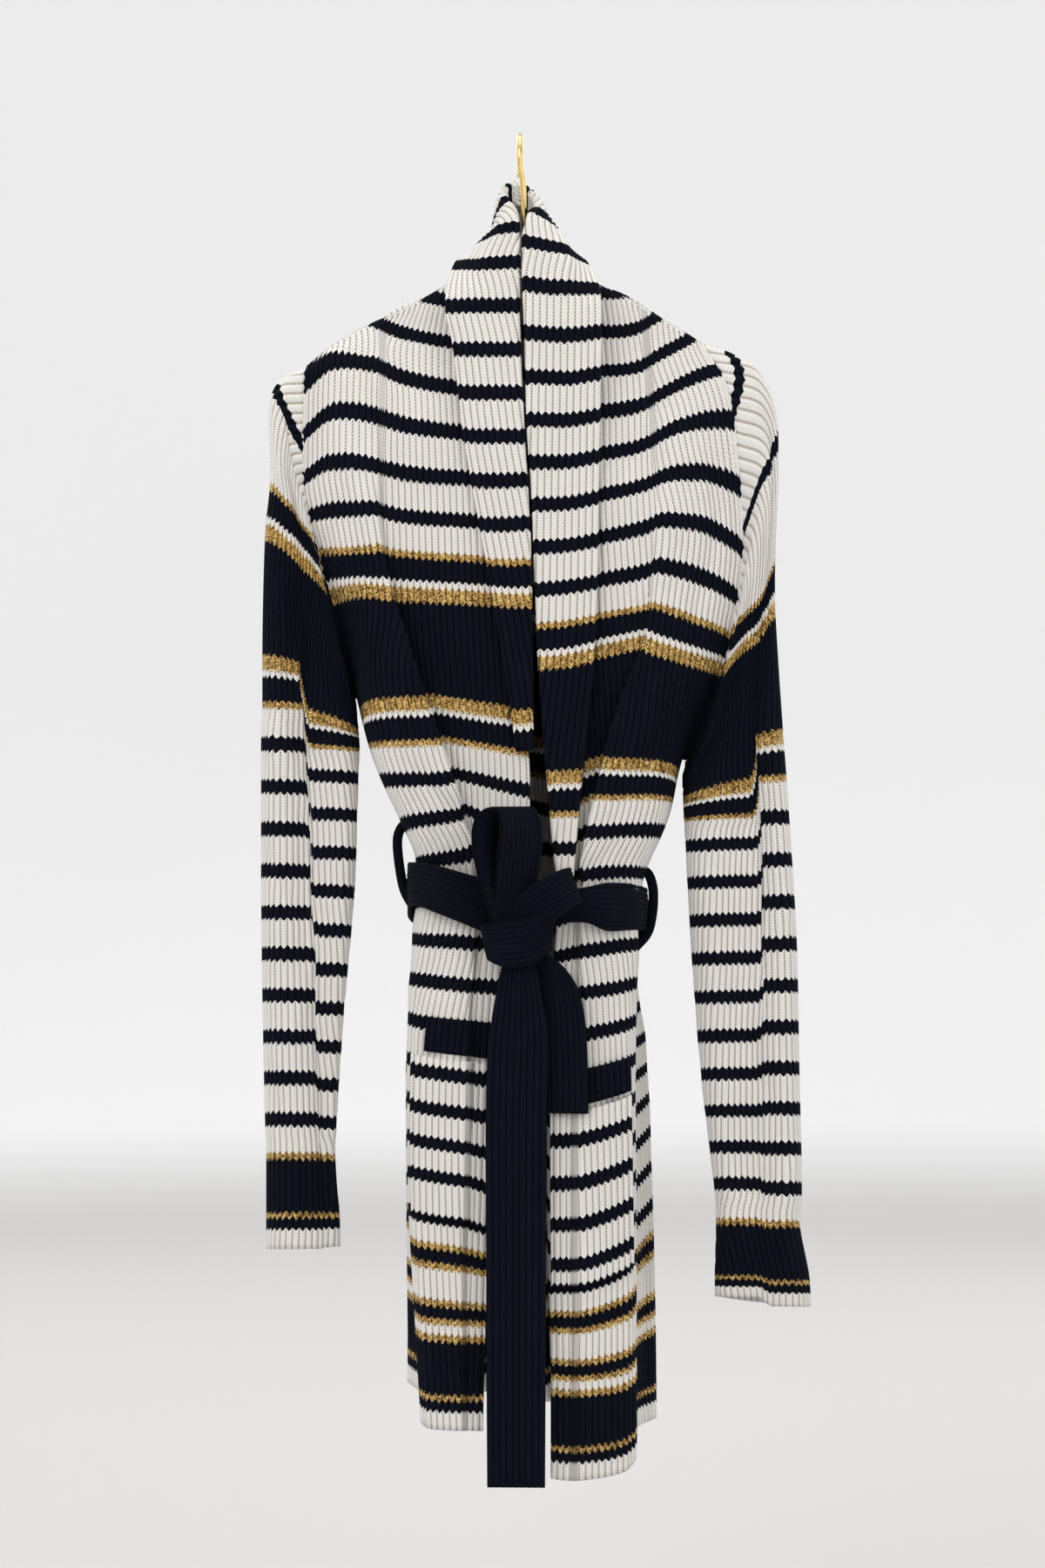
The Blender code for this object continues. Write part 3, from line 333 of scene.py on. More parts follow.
# Round pale studio, the same from every side, in metres
FLOOR_Z = -1.30
BOWL_R = 4.6
FLOOR_PAINT = (0.60, 0.595, 0.59)
WALL_PAINT = (0.88, 0.88, 0.885)
BOWL_BEND = 1.0
BOWL_TOP = 1.8
BOWL_SIDES = 64
PHOTO_HIGH = 1800
MM_A_PIXEL = 0.68


def curve(knots, rows, at):
    """The smooth curve through rows of numbers at the given knots, without overshoot."""
    knots, rows, at = (np.asarray(a, float) for a in (knots, rows, at))
    step = np.diff(knots).reshape((-1,) + (1,) * (rows.ndim - 1))
    rise = np.diff(rows, axis=0) / step
    slope = np.empty_like(rows)
    slope[0], slope[-1] = rise[0], rise[-1]
    mean = (rise[:-1] * step[1:] + rise[1:] * step[:-1]) / (step[1:] + step[:-1])
    least = 3 * np.minimum(abs(rise[:-1]), abs(rise[1:]))
    slope[1:-1] = np.where(rise[:-1] * rise[1:] > 0, np.clip(mean, -least, least), 0)
    i = np.clip(np.searchsorted(knots, at, side="right") - 1, 0, len(knots) - 2)
    h = step[i]
    t = (at - knots[i]).reshape(h.shape) / h
    return (
        rows[i] * (1 + 2 * t) * (1 - t) ** 2
        + slope[i] * h * t * (1 - t) ** 2
        + rows[i + 1] * t * t * (3 - 2 * t)
        - slope[i + 1] * h * t * t * (1 - t)
    )


def placed(x, z, y):
    """Points for places seen in line with x and z that really lie at depth y."""
    x, z, y = np.broadcast_arrays(*(np.asarray(a, float) for a in (x, z, y)))
    away = 1 + y / SIGHT_FAR
    return np.stack([SIGHT_X + (x - SIGHT_X) * away, y, SIGHT_Z + (z - SIGHT_Z) * away], -1)


def normals(grid, around=False):
    """Unit normals of a grid of points (rows, columns, 3)."""
    if around:
        wide = np.concatenate([grid[:, -1:], grid, grid[:, :1]], 1)
        across = (wide[:, 2:] - wide[:, :-2]) / 2
    else:
        across = np.gradient(grid, axis=1)
    along = np.gradient(grid, axis=0)
    n = np.cross(along, across)
    return n / np.maximum(np.linalg.norm(n, axis=2, keepdims=True), 1e-9)


def panel_table(rows, wales):
    """A panel's table as knots down its length and an array (row, wale, x-y-z-course)."""
    down = [float(np.mean(row[0])) for row in rows]
    body = [
        np.concatenate([placed(row[1], row[2], row[3]), np.broadcast_to(row[0], (1, len(wales))).T], 1)
        for row in rows
    ]
    return np.array(down), np.array(body)


def panel(rows, wales, down, across):
    """Points and courses (x, y, z, course) of a panel at the given courses down and shares across."""
    knots, body = panel_table(rows, wales)
    lines = curve(knots, body, down)
    return curve(wales, lines.transpose(1, 0, 2), across).transpose(1, 0, 2)


def distances(line):
    """How far each point of a line lies along it."""
    return np.concatenate([[0], np.cumsum(np.linalg.norm(np.diff(line[:, :3], axis=0), axis=1))])


def sampled(line, run, at):
    """A line's points at some distances along it."""
    return np.stack([np.interp(at, run, line[:, k]) for k in range(line.shape[1])], 1)


def spread(lines, total, middle, half, step, smooth=0.0):
    """Columns at even steps of knitting along each row of points.

    Each row is shorter than the knitting's total width. What is spare is taken up within half of the
    row's place at middle (both mm along the row). Returns the points and how closely they lie there.
    """
    count = int(round(total / step)) + 1
    knit = np.linspace(0, total, count)
    grid = np.empty((len(lines), count, lines.shape[2]))
    ease = np.empty((len(lines), count))
    for r, line in enumerate(lines):
        length = distances(line)
        even = np.linspace(0, length[-1], 4 * count)
        line = sampled(line, length, even)
        if smooth:
            line[:, :3] = smoothed(line[:, :3], smooth * 4 * count / length[-1])
        centre = middle[r] * length[-1]
        wide = min(half, centre, length[-1] - centre)
        spare = total - length[-1]
        at = np.interp(knit, (0, centre - wide, centre + wide + spare, total),
                       (0, centre - wide, centre + wide, length[-1]))
        grid[r] = sampled(line, even, at)
        ease[r] = np.clip(np.gradient(at) / step, 0, 1)
    return grid, knit, ease


def smoothed(line, spread_by):
    """A line of points with its corners rounded and its ends held."""
    reach = int(3 * spread_by)
    if reach < 1:
        return line
    weight = np.exp(-0.5 * (np.arange(-reach, reach + 1) / spread_by) ** 2)
    weight /= weight.sum()
    wide = np.pad(line, ((reach, reach), (0, 0)), "reflect", reflect_type="odd")
    return np.stack([np.convolve(wide[:, k], weight, "valid") for k in range(line.shape[1])], 1)


def front_lines(rows, down):
    """A front's rows of points, with its long pleat closed over."""
    knots, body = panel_table(rows, WALES)
    lines = curve(knots, body, down)
    deep = np.clip((lines[:, 1, 1] - lines[:, 2, 1]) / 8, 0, 1)[:, None]
    lines[:, 1, ::2] += (lines[:, 2, ::2] - lines[:, 1, ::2]) * 1.35 * deep
    across = np.linspace(0, 1, 240)
    grid = curve(WALES, lines.transpose(1, 0, 2), across).transpose(1, 0, 2)
    swell = np.sin(np.clip((across - WALES[3]) / (1 - WALES[3]), 0, 1) * math.pi)[None, :]
    swell = swell * np.clip((np.asarray(down) - 60) / 60, 0, 1)[:, None] * SIDE_SWELL
    grid[..., 0] += swell * 0.75 * np.sign(grid[:, -1:, 0])
    grid[..., 1] -= swell * 0.65
    return grid


def row_lengths(lines):
    return np.linalg.norm(np.diff(lines[..., :3], axis=1), axis=2).sum(1)


def steps_down(top, foot, step=ROW):
    return np.linspace(top, foot, int(round((foot - top) / step)) + 1)


def fold_wave(share):
    """Vertical folds of the back: 0 at its side folds, up to 1 out and in between them."""
    inner = np.clip((share - BACK_WALES[1]) / (BACK_WALES[3] - BACK_WALES[1]), 0, 1)
    return -np.cos(inner * 2 * math.pi * BACK_FOLDS) * np.sin(inner * math.pi) ** 0.6


def back_lines(down):
    """The back's rows of points, with its folds, and its edges laid against those of the fronts."""
    across = np.linspace(0, 1, 480)
    rows = [row[:4] for row in BACK]
    grid = panel(rows, BACK_WALES, down, across)
    knots = panel_table(rows, BACK_WALES)[0]
    depth = curve(knots, np.array([[row[4]] for row in BACK]), down)
    grid[..., 1] += depth * fold_wave(across)[None, :]
    for side, rows in ((0, FRONT_LEFT), (-1, FRONT_RIGHT)):
        slope = (panel_table(rows, WALES)[0][0] - SLOPE_FOOT) / (knots[0] - SLOPE_FOOT)
        beside = np.where(down < SLOPE_FOOT, SLOPE_FOOT + (down - SLOPE_FOOT) * slope, down)
        edge = panel(rows, WALES, beside, (1.0,))[:, 0, :3]
        joined = (down >= UNDERARM)[:, None]
        edge = np.where(joined, edge + (0, SEAM + WALL * 0.1, 0), edge * (1, -1, 1))
        share = across if side == 0 else 1 - across
        near = np.clip(1 - share / BACK_WALES[1], 0, 1)[None, :, None]
        grid[..., :3] += near * (edge - grid[:, side, :3])[:, None, :]
    return grid


def armhole(rows, turns):
    """The ring where a sleeve joins the body: down the front's edge, up the back's."""
    down = np.where(turns <= 0.5, turns, 1 - turns) * 2
    knots, _ = panel_table(rows, WALES)
    at = curve((0, 0.5, 1), [[knots[0]], [ARMHOLE_MIDDLE], [UNDERARM]], down)[:, 0]
    near, edge = panel(rows, WALES, at, (0.97, 1.0)).transpose(1, 0, 2)[..., :3]
    onward = edge - near
    onward /= np.linalg.norm(onward, axis=1, keepdims=True)
    low = (np.sin(down * math.pi / 2) ** ARMHOLE_TURN)[:, None]
    outward = np.array([math.copysign(1, edge[0, 0]), 0, -0.5])
    onward = onward * (1 - low) + outward * low
    ring = edge + onward * (ARMHOLE_GAP + ARMHOLE_LOW * low)
    mirrored = (turns > 0.5)[:, None] & (np.arange(3) == 1)
    ring = np.where(mirrored, -ring, ring)
    ring[np.isclose(down, 1), 1] = 1.0
    return ring


def sleeve_ring(row, turns):
    """One ring of a sleeve: outer side at turn 0, front at a quarter, inner side at a half."""
    _, _, x_out, z_out, x_in, z_in, bow, depth, crease = row
    around = turns * 2 * math.pi
    drop = ((1 - np.cos(around)) / 2) ** (SLOW_DROP if x_out < 0 else QUICK_DROP)
    swell = np.sign(np.cos(around)) * abs(np.cos(around)) ** 0.85
    x = (x_out + x_in) / 2 + (x_out - x_in) / 2 * swell + bow * abs(np.sin(around)) ** 1.2
    y = -depth * np.sign(np.sin(around)) * abs(np.sin(around)) ** 0.8
    middle = np.interp(row[0], CREASE_COURSES, CREASE_LEFT if x_out < 0 else CREASE_RIGHT)
    dent = np.exp(-(((turns - middle) / CREASE_WIDE) ** 2))
    back_dent = np.exp(-(((turns - 0.72) / 0.1) ** 2))
    y = y + crease * dent - 0.5 * crease * back_dent
    under = np.exp(-(((turns - middle - 0.025) / 0.035) ** 2)) * crease / 20
    x = x + math.copysign(LIP, x_out) * under
    behind = np.clip((turns - middle + 0.02) / 0.05, 0, 1)
    behind = np.where(turns <= 0.5, behind * behind * (3 - 2 * behind), drop)
    drop = drop + (behind - drop) * np.clip((row[0] - 60) / 90, 0, 1) * 0.85
    z = z_out + (z_in - z_out) * drop
    return placed(x, z, y)


def sleeve_lines(front_rows, rows, seam_courses, step=ROW):
    """A sleeve's rings of points, each closed on itself, with their courses."""
    turns = np.linspace(0, 1, SLEEVE_TURNS + 1)
    table = np.array([armhole(front_rows, turns)] + [sleeve_ring(row, turns) for row in rows])
    outer = np.array([seam_courses[0]] + [row[0] for row in rows], float)
    inner = np.array([seam_courses[1]] + [row[1] for row in rows], float)
    drop = CAP_DROP_LEFT if rows[0][2] < 0 else CAP_DROP_RIGHT
    fall = ((1 - np.cos(turns * 2 * math.pi)) / 2) ** drop
    course = outer[:, None] + (inner - outer)[:, None] * fall
    table = np.concatenate([table, course[..., None]], 2)
    at = np.interp(steps_down(outer[0], outer[-1], step), outer, np.arange(len(outer)))
    return curve(np.arange(len(table)), table, at)


def collar_section(row, side, over_steps):
    """One row of the collar: inside the roll, round it, then out to the free edge."""
    course, facing, roll, middle, free, inside = row
    edge, middle, free = (placed(*point) for point in (roll, middle, free))
    turn = math.radians(facing)
    out = np.array([side * math.sin(turn), -math.cos(turn), 0.0])
    fall = middle - edge - out * ROLL_R
    fall /= np.linalg.norm(fall)
    stand = fall - out * fall.dot(out)
    stand /= np.linalg.norm(stand)
    out -= fall * out.dot(fall)
    out /= np.linalg.norm(out)
    hub = edge + fall * ROLL_R
    under = [hub - out * ROLL_R + stand * inside * share for share in (1.0, 0.5)]
    bend = [hub - ROLL_R * (math.cos(a) * out + math.sin(a) * fall)
            for a in np.linspace(0, math.pi, ROLL_STEPS + 1)]
    over = curve((0, 0.5, 1), [bend[-1], middle, free], np.linspace(0, 1, over_steps + 1))[1:]
    points = np.array(under + bend + list(over))
    return np.concatenate([points, np.full((len(points), 1), float(course))], 1)


def collar_lines(rows, side):
    """A collar half's rows of points, from its free edge in to the seam, low end first."""
    table = np.array([collar_section(row, side, 12) for row in rows])[:, ::-1]
    span = abs(rows[-1][0] - rows[0][0])
    return curve(np.arange(len(rows)), table, np.linspace(0, len(rows) - 1, int(span / 5) + 1))


def strip(rows, count, shares, lean=False):
    """A belt strip's points: rows along its length, the given shares across its width."""
    table = np.array(rows, float)
    line = curve(np.arange(len(rows)), table, np.linspace(0, len(rows) - 1, count))
    turn = np.radians(line[:, 3])
    if lean:
        wide = np.stack([np.sin(turn), np.zeros_like(turn), np.cos(turn)], 1)
    else:
        wide = np.stack([np.cos(turn), -np.sin(turn), np.zeros_like(turn)], 1)
    centre = placed(line[:, 0], line[:, 1], line[:, 2])
    offset = (np.asarray(shares) - 0.5)[None, :, None] * line[:, 4][:, None, None]
    return centre[:, None] + wide[:, None] * offset


def belt_round(count, shares):
    table = np.array(BELT_ROUND, float)
    line = curve(np.arange(len(table)), table, np.linspace(0, len(table) - 1, count))
    share = np.asarray(shares)[None, :]
    out = np.gradient(line[:, :2], axis=0)
    out = np.stack([-out[:, 1], out[:, 0]], 1)
    out /= np.linalg.norm(out, axis=1, keepdims=True)
    bulge = line[:, 4:5] * np.sin(share * math.pi) ** 2
    x = line[:, :1] + 0 * share
    y = line[:, 1:2] + 0 * share
    z = line[:, 2:3] + (line[:, 3:4] - line[:, 2:3]) * share
    return placed(x + out[:, :1] * bulge, z, y + out[:, 1:] * bulge)


def creased(grid, knit, marks, around=0.0):
    """The grid with soft creases. Each mark: from course, from knit, to course, to knit, width, and
    depth, which is above 0 out of the cloth's right side. around is a tube's whole width, or 0."""
    push = normals(grid[..., :3], bool(around))
    course = grid[..., 3]
    moved = np.zeros(course.shape)
    for c0, k0, c1, k1, wide, deep in marks:
        along = np.array([c1 - c0, k1 - k0], float)
        length = np.linalg.norm(along)
        along /= length
        dc, dk = course - c0, knit[None, :] - k0
        if around:
            dk = (dk + around / 2) % around - around / 2
        run = (dc * along[0] + dk * along[1]) / length
        off = dc * along[1] - dk * along[0]
        fade = np.clip(np.minimum(run, 1 - run) * 3.3 + 0.5, 0, 1)
        fade = fade * fade * (3 - 2 * fade)
        moved += deep * np.exp(-((off / wide) ** 2)) * fade
    grid = grid.copy()
    grid[..., :3] += push * moved[..., None]
    return grid


def rib_height(wale):
    """Height of the ribs over the valleys, 0 to 1, at a count of ribs across."""
    return abs(np.sin(np.asarray(wale) * math.pi)) ** 0.7


def knitted(name, grid, wale, ease, look, wall=WALL, deep=RIB_DEEP, around=False):
    """A closed ribbed wall on a grid of middle points with courses (x, y, z, course).

    Its ribs alternate: a rib on one face lies over a valley of the other. ease is 1 where the cloth
    lies open and less where its ribs are drawn together.
    """
    points, course = grid[..., :3], grid[..., 3]
    rows, columns = course.shape
    push = normals(points, around)
    wale = np.broadcast_to(wale, (rows, columns + 1 if around else columns))
    inside = wale[:, :columns]
    level = wall / 2 - deep / 2
    outer = points + push * (level + deep * ease * rib_height(inside))[..., None]
    inner = points - push * (level + deep * ease * rib_height(inside + 0.5))[..., None]
    index = np.arange(rows * columns).reshape(rows, columns)
    if around:
        index = np.concatenate([index, index[:, :1]], 1)
        course = np.concatenate([course, course[:, :1]], 1)
    under = index + rows * columns

    faces, shares, levels = [], [], []

    def add(corners, marks):
        faces.append(np.stack([c.ravel() for c in corners], 1))
        shares.append(np.stack([wale[m].ravel() + s for m, s in marks], 1))
        levels.append(np.stack([course[m].ravel() for m, s in marks], 1))

    a, b = slice(None, -1), slice(1, None)
    square = [(a, a), (b, a), (b, b), (a, b)]
    add([index[m] for m in square], [(m, 0) for m in square])
    add([under[m] for m in square[::-1]], [(m, 0.5) for m in square[::-1]])
    for end, turned in ((0, False), (-1, True)):
        line = [(index, (end, a)), (index, (end, b)), (under, (end, b)), (under, (end, a))]
        line = line[::-1] if turned else line
        add([i[m] for i, m in line], [(m, 0) for i, m in line])
    if not around:
        for end, turned in ((0, True), (-1, False)):
            line = [(index, (a, end)), (index, (b, end)), (under, (b, end)), (under, (a, end))]
            line = line[::-1] if turned else line
            add([i[m] for i, m in line], [(m, 0) for i, m in line])
    faces = np.concatenate(faces)
    data = bpy.data.meshes.new(name)
    places = np.concatenate([outer.reshape(-1, 3), inner.reshape(-1, 3)]) * MM
    data.vertices.add(len(places))
    data.vertices.foreach_set("co", places.ravel())
    data.loops.add(faces.size)
    data.loops.foreach_set("vertex_index", faces.ravel().astype(np.int32))
    data.polygons.add(len(faces))
    data.polygons.foreach_set("loop_start", np.arange(0, faces.size, 4, dtype=np.int32))
    data.update(calc_edges=True)
    data.validate()
    layer = data.uv_layers.new(name="Knit")
    uv = np.stack([np.concatenate(shares).ravel(), np.concatenate(levels).ravel() / 100], 1)
    layer.data.foreach_set("uv", uv.ravel())
    data.shade_smooth()
    made = bpy.data.objects.new(name, data)
    bpy.context.scene.collection.objects.link(made)
    made.data.materials.append(look)
    return made


class Nodes:
    """Short ways to add shader nodes to one material."""

    def __init__(self, name):
        self.material = bpy.data.materials.new(name)
        self.material.use_nodes = True
        self.tree = self.material.node_tree
        self.shader = self.tree.nodes["Principled BSDF"]

    def add(self, kind, **settings):
        node = self.tree.nodes.new(kind)
        for key, value in settings.items():
            setattr(node, key, value)
        return node

    def feed(self, socket, value):
        if isinstance(value, bpy.types.NodeSocket):
            self.tree.links.new(value, socket)
        elif isinstance(value, tuple) and len(value) == 3 and socket.type == "RGBA":
            socket.default_value = (*value, 1)
        else:
            socket.default_value = value

    def math(self, operation, *values, clamp=False):
        node = self.add("ShaderNodeMath", operation=operation, use_clamp=clamp)
        for socket, value in zip(node.inputs, values):
            self.feed(socket, value)
        return node.outputs[0]

    def plus(self, *values):
        return self.math("ADD", *values)

    def minus(self, *values):
        return self.math("SUBTRACT", *values)

    def times(self, *values):
        return self.math("MULTIPLY", *values)

    def mix(self, factor, low, high):
        node = self.add("ShaderNodeMix", data_type="RGBA")
        for key, value in (("Factor_Float", factor), ("A_Color", low), ("B_Color", high)):
            self.feed(next(s for s in node.inputs if s.identifier == key), value)
        return next(s for s in node.outputs if s.identifier == "Result_Color")

    def noise(self, scale, detail=2.0, rough=0.5, vector=None):
        node = self.add("ShaderNodeTexNoise")
        node.inputs["Scale"].default_value = scale
        node.inputs["Detail"].default_value = detail
        node.inputs["Roughness"].default_value = rough
        if vector is not None:
            self.tree.links.new(vector, node.inputs["Vector"])
        return node.outputs["Fac"]

    def spot(self):
        return self.add("ShaderNodeTexCoord").outputs["Object"]

    def smooth(self, value, low, high):
        node = self.add("ShaderNodeMapRange", interpolation_type="SMOOTHSTEP")
        self.feed(node.inputs["Value"], value)
        node.inputs["From Min"].default_value = low
        node.inputs["From Max"].default_value = high
        return node.outputs["Result"]


YARN_CODE = {"ecru": (0, 0, 0), "navy": (1, 0, 0), "gold": (0, 1, 0)}


def band_masks(n, at, bands, runs, singles):
    """Where navy and where gold yarn is knitted, 0 or 1, along the courses.

    Each group of bands has a colour ramp of its own, because a ramp holds only 256 steps.
    """
    ground = bands[0][1]
    groups = []
    for start, yarn in bands[1:]:
        if not groups or groups[-1][-1][1] == ground and start - groups[-1][-1][0] > 60:
            groups.append([(start - 4, ground)])
        groups[-1].append((start, yarn))
    navy, gold = 0.0, 0.0
    for group in groups:
        first, last = group[0][0], group[-1][0] + 4
        share = n.math("DIVIDE", n.minus(at, float(first)), float(last - first), clamp=True)
        ramp = n.add("ShaderNodeValToRGB")
        ramp.color_ramp.interpolation = "CONSTANT"
        stops = ramp.color_ramp.elements
        for k, (start, yarn) in enumerate(group):
            place = (start - first) / (last - first)
            stop = stops[k] if k < 2 else stops.new(place)
            stop.position = place
            stop.color = (*YARN_CODE[yarn], 1)
        n.feed(ramp.inputs[0], share)
        split = n.add("ShaderNodeSeparateColor")
        n.feed(split.inputs[0], ramp.outputs["Color"])
        navy = n.math("MAXIMUM", navy, split.outputs[0])
        gold = n.math("MAXIMUM", gold, split.outputs[1])
    for low, high, centre in runs:
        beat = n.math("DIVIDE", n.minus(at, float(centre)), REPEAT)
        beat = n.math("ABSOLUTE", n.minus(beat, n.math("ROUND", beat)))
        stripe = n.math("LESS_THAN", beat, STRIPE / REPEAT / 2)
        stripe = n.times(stripe, n.math("GREATER_THAN", at, float(low)))
        stripe = n.times(stripe, n.math("LESS_THAN", at, float(high)))
        navy = n.math("MAXIMUM", navy, stripe)
    for centre in singles:
        stripe = n.math("LESS_THAN", n.math("ABSOLUTE", n.minus(at, float(centre))), STRIPE / 2)
        navy = n.math("MAXIMUM", navy, stripe)
    return navy, gold


def knit_material(name, bands=None, runs=(), singles=()):
    """Ribbed knit: V stitches up each rib, laddered valleys with painted shade, bands of navy and gold
    yarn, and painted glints on the gold.
    """
    n = Nodes(name)
    uv = n.add("ShaderNodeUVMap", uv_map="Knit")
    split = n.add("ShaderNodeSeparateXYZ")
    n.feed(split.inputs[0], uv.outputs[0])
    wale = split.outputs[0]
    course = n.times(split.outputs[1], 100.0)
    place = n.spot()
    wander = n.times(n.minus(n.noise(260.0, 1.0, vector=place), 0.5), 1.6)
    off = n.math("ABSOLUTE", n.minus(n.math("FRACT", wale), 0.5))
    rim = n.times(off, 2.0)
    dip = n.times(n.minus(1.0, rim), TOOTH)
    leg = n.minus(course, dip)
    navy, gold = band_masks(n, n.plus(leg, wander), bands or [(-1000, "navy"), (1000, "navy")],
                            runs, singles)
    # stitch relief: legs of each V, the groove between them, and the rungs of the valleys
    beat = n.math("FRACT", n.math("DIVIDE", leg, STITCH))
    legs = n.math("SINE", n.times(beat, math.pi))
    groove = n.smooth(off, 0.0, 0.07)
    rung = n.math("SINE", n.times(n.math("FRACT", n.math("DIVIDE", course, STITCH)), math.pi))
    valley = n.smooth(rim, 0.60, 0.95)
    relief = n.times(n.plus(n.times(legs, 0.75), 0.25),
                    n.plus(n.times(groove, 0.35), 0.65))
    relief = n.minus(relief, n.times(valley, 0.85))
    relief = n.plus(relief, n.times(n.times(valley, rung), 0.25))
    fuzz = n.noise(2600.0, 3.0, 0.6, place)
    height = n.plus(relief, n.times(fuzz, 0.22))
    # colour: painted shade, darker where the stitch relief is low, in the rib valleys and the grooves
    # between stitches
    lit = n.smooth(relief, -0.30, 0.95)
    patchy = n.noise(55.0, 3.0, vector=place)
    tone = n.plus(n.times(fuzz, 0.10), n.plus(n.times(patchy, 0.10), 0.90))
    ecru = n.mix(lit, ECRU_PAINTED_SHADE, ECRU_YARN)
    dark = n.mix(n.times(lit, n.plus(n.times(fuzz, 0.9), 0.5)), NAVY_PAINTED_SHADE, NAVY_YARN)
    # painted glints: random cells of the gold are mixed towards a highlight colour; the valleys get
    # painted shade and random cells are darkened
    glint = n.add("ShaderNodeTexVoronoi")
    glint.inputs["Scale"].default_value = 780.0
    n.feed(glint.inputs["Vector"], place)
    spark = n.add("ShaderNodeSeparateColor")
    n.feed(spark.inputs[0], glint.outputs["Color"])
    shine = n.math("POWER", spark.outputs[0], 1.5)
    gold_painted_light = n.mix(shine, GOLD_YARN, GOLD_PAINTED_GLINT)
    gold_painted_light = n.mix(n.times(lit, n.smooth(spark.outputs[1], 0.05, 0.45)), GOLD_PAINTED_SHADE, gold_painted_light)
    colour = n.mix(gold, n.mix(navy, ecru, dark), gold_painted_light)
    shaded = n.add("ShaderNodeMix", data_type="RGBA", blend_type="MULTIPLY")
    shaded.inputs[0].default_value = 1.0
    n.feed(shaded.inputs[6], colour)
    grey = n.add("ShaderNodeCombineColor")
    for socket in grey.inputs:
        n.feed(socket, tone)
    n.feed(shaded.inputs[7], grey.outputs[0])
    n.feed(n.shader.inputs["Base Color"], shaded.outputs[2])
    n.feed(n.shader.inputs["Metallic"], n.times(gold, 0.75))
    n.feed(n.shader.inputs["Roughness"], n.minus(0.92, n.times(gold, 0.62)))
    n.shader.inputs["Sheen Weight"].default_value = 0.012
    n.shader.inputs["Sheen Roughness"].default_value = 0.6
    n.shader.inputs["Specular IOR Level"].default_value = 0.05
    height = n.plus(height, n.times(n.times(gold, spark.outputs[2]), 0.9))
    bump = n.add("ShaderNodeBump")
    bump.inputs["Strength"].default_value = 0.7
    bump.inputs["Distance"].default_value = 0.0008
    n.feed(bump.inputs["Height"], height)
    n.feed(n.shader.inputs["Normal"], bump.outputs[0])
    return n.material


def brass_material():
    n = Nodes("hook_brass")
    place = n.spot()
    wear = n.noise(160.0, 4.0, vector=place)
    n.feed(n.shader.inputs["Base Color"], n.mix(wear, (0.86, 0.66, 0.30), (0.72, 0.50, 0.20)))
    n.shader.inputs["Metallic"].default_value = 1.0
    n.feed(n.shader.inputs["Roughness"], n.plus(n.times(wear, 0.15), 0.12))
    return n.material


def wood_material():
    n = Nodes("hanger_wood")
    place = n.spot()
    stretch = n.add("ShaderNodeMapping")
    stretch.inputs["Scale"].default_value = (8.0, 60.0, 60.0)
    n.feed(stretch.inputs["Vector"], place)
    grain = n.noise(3.0, 5.0, 0.6, stretch.outputs[0])
    n.feed(n.shader.inputs["Base Color"], n.mix(grain, (0.46, 0.30, 0.16), WOOD))
    n.feed(n.shader.inputs["Roughness"], n.plus(n.times(grain, 0.2), 0.35))
    bump = n.add("ShaderNodeBump")
    bump.inputs["Strength"].default_value = 0.2
    n.feed(bump.inputs["Height"], grain)
    n.feed(n.shader.inputs["Normal"], bump.outputs[0])
    return n.material


def floor_material():
    """Matt paint that darkens from the wall down to the floor."""
    n = Nodes("floor")
    split = n.add("ShaderNodeSeparateXYZ")
    n.feed(split.inputs[0], n.spot())
    high = n.smooth(split.outputs[2], FLOOR_Z - 0.02, FLOOR_Z + 0.15)
    n.feed(n.shader.inputs["Base Color"], n.mix(high, FLOOR_PAINT, WALL_PAINT))
    n.shader.inputs["Roughness"].default_value = 0.9
    n.shader.inputs["Specular IOR Level"].default_value = 0.1
    return n.material


def dressed(piece, nodes):
    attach(piece, "root")
    if nodes:
        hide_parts(*nodes)
    return piece


def tube(name, line, wide, thick, sides, look, course=None):
    """A closed round or oval bar along a line of points, its width along Y where it can."""
    line = np.asarray(line, float)
    along = np.gradient(line, axis=0)
    along /= np.linalg.norm(along, axis=1, keepdims=True)
    across = np.array([0, 1, 0]) - along * along[:, 1:2]
    flat = np.linalg.norm(across, axis=1, keepdims=True)
    across = np.where(flat > 0.2, across / np.maximum(flat, 1e-6), (1.0, 0, 0))
    other = np.cross(along, across)
    turn = np.arange(sides) * 2 * math.pi / sides
    grid = (line[:, None] + across[:, None] * (np.cos(turn) * wide / 2)[None, :, None]
            + other[:, None] * (np.sin(turn) * thick / 2)[None, :, None])
    length = distances(line)
    course = length if course is None else np.asarray(course, float)
    mesh = bmesh.new()
    layer = mesh.loops.layers.uv.new("Knit")
    rings = [[mesh.verts.new(p * MM) for p in ring] for ring in grid]
    ribs = max(2, round(math.pi * (wide + thick) / 2 / RIB))
    for r in range(len(rings) - 1):
        for k in range(sides):
            j = (k + 1) % sides
            face = mesh.faces.new((rings[r][k], rings[r][j], rings[r + 1][j], rings[r + 1][k]))
            face.smooth = True
            for loop, (row, side) in zip(face.loops, ((r, k), (r, k + 1), (r + 1, k + 1), (r + 1, k))):
                loop[layer].uv = (side / sides * ribs, course[row] / 100)
    for ring, row in ((rings[0], 0), (rings[-1], -1)):
        face = mesh.faces.new(ring)
        for loop in face.loops:
            loop[layer].uv = (0.5, course[row] / 100)
    bmesh.ops.recalc_face_normals(mesh, faces=mesh.faces)
    if mesh.calc_volume(signed=True) < 0:
        bmesh.ops.reverse_faces(mesh, faces=mesh.faces)
    data = bpy.data.meshes.new(name)
    mesh.to_mesh(data)
    mesh.free()
    made = bpy.data.objects.new(name, data)
    bpy.context.scene.collection.objects.link(made)
    made.data.materials.append(look)
    return made


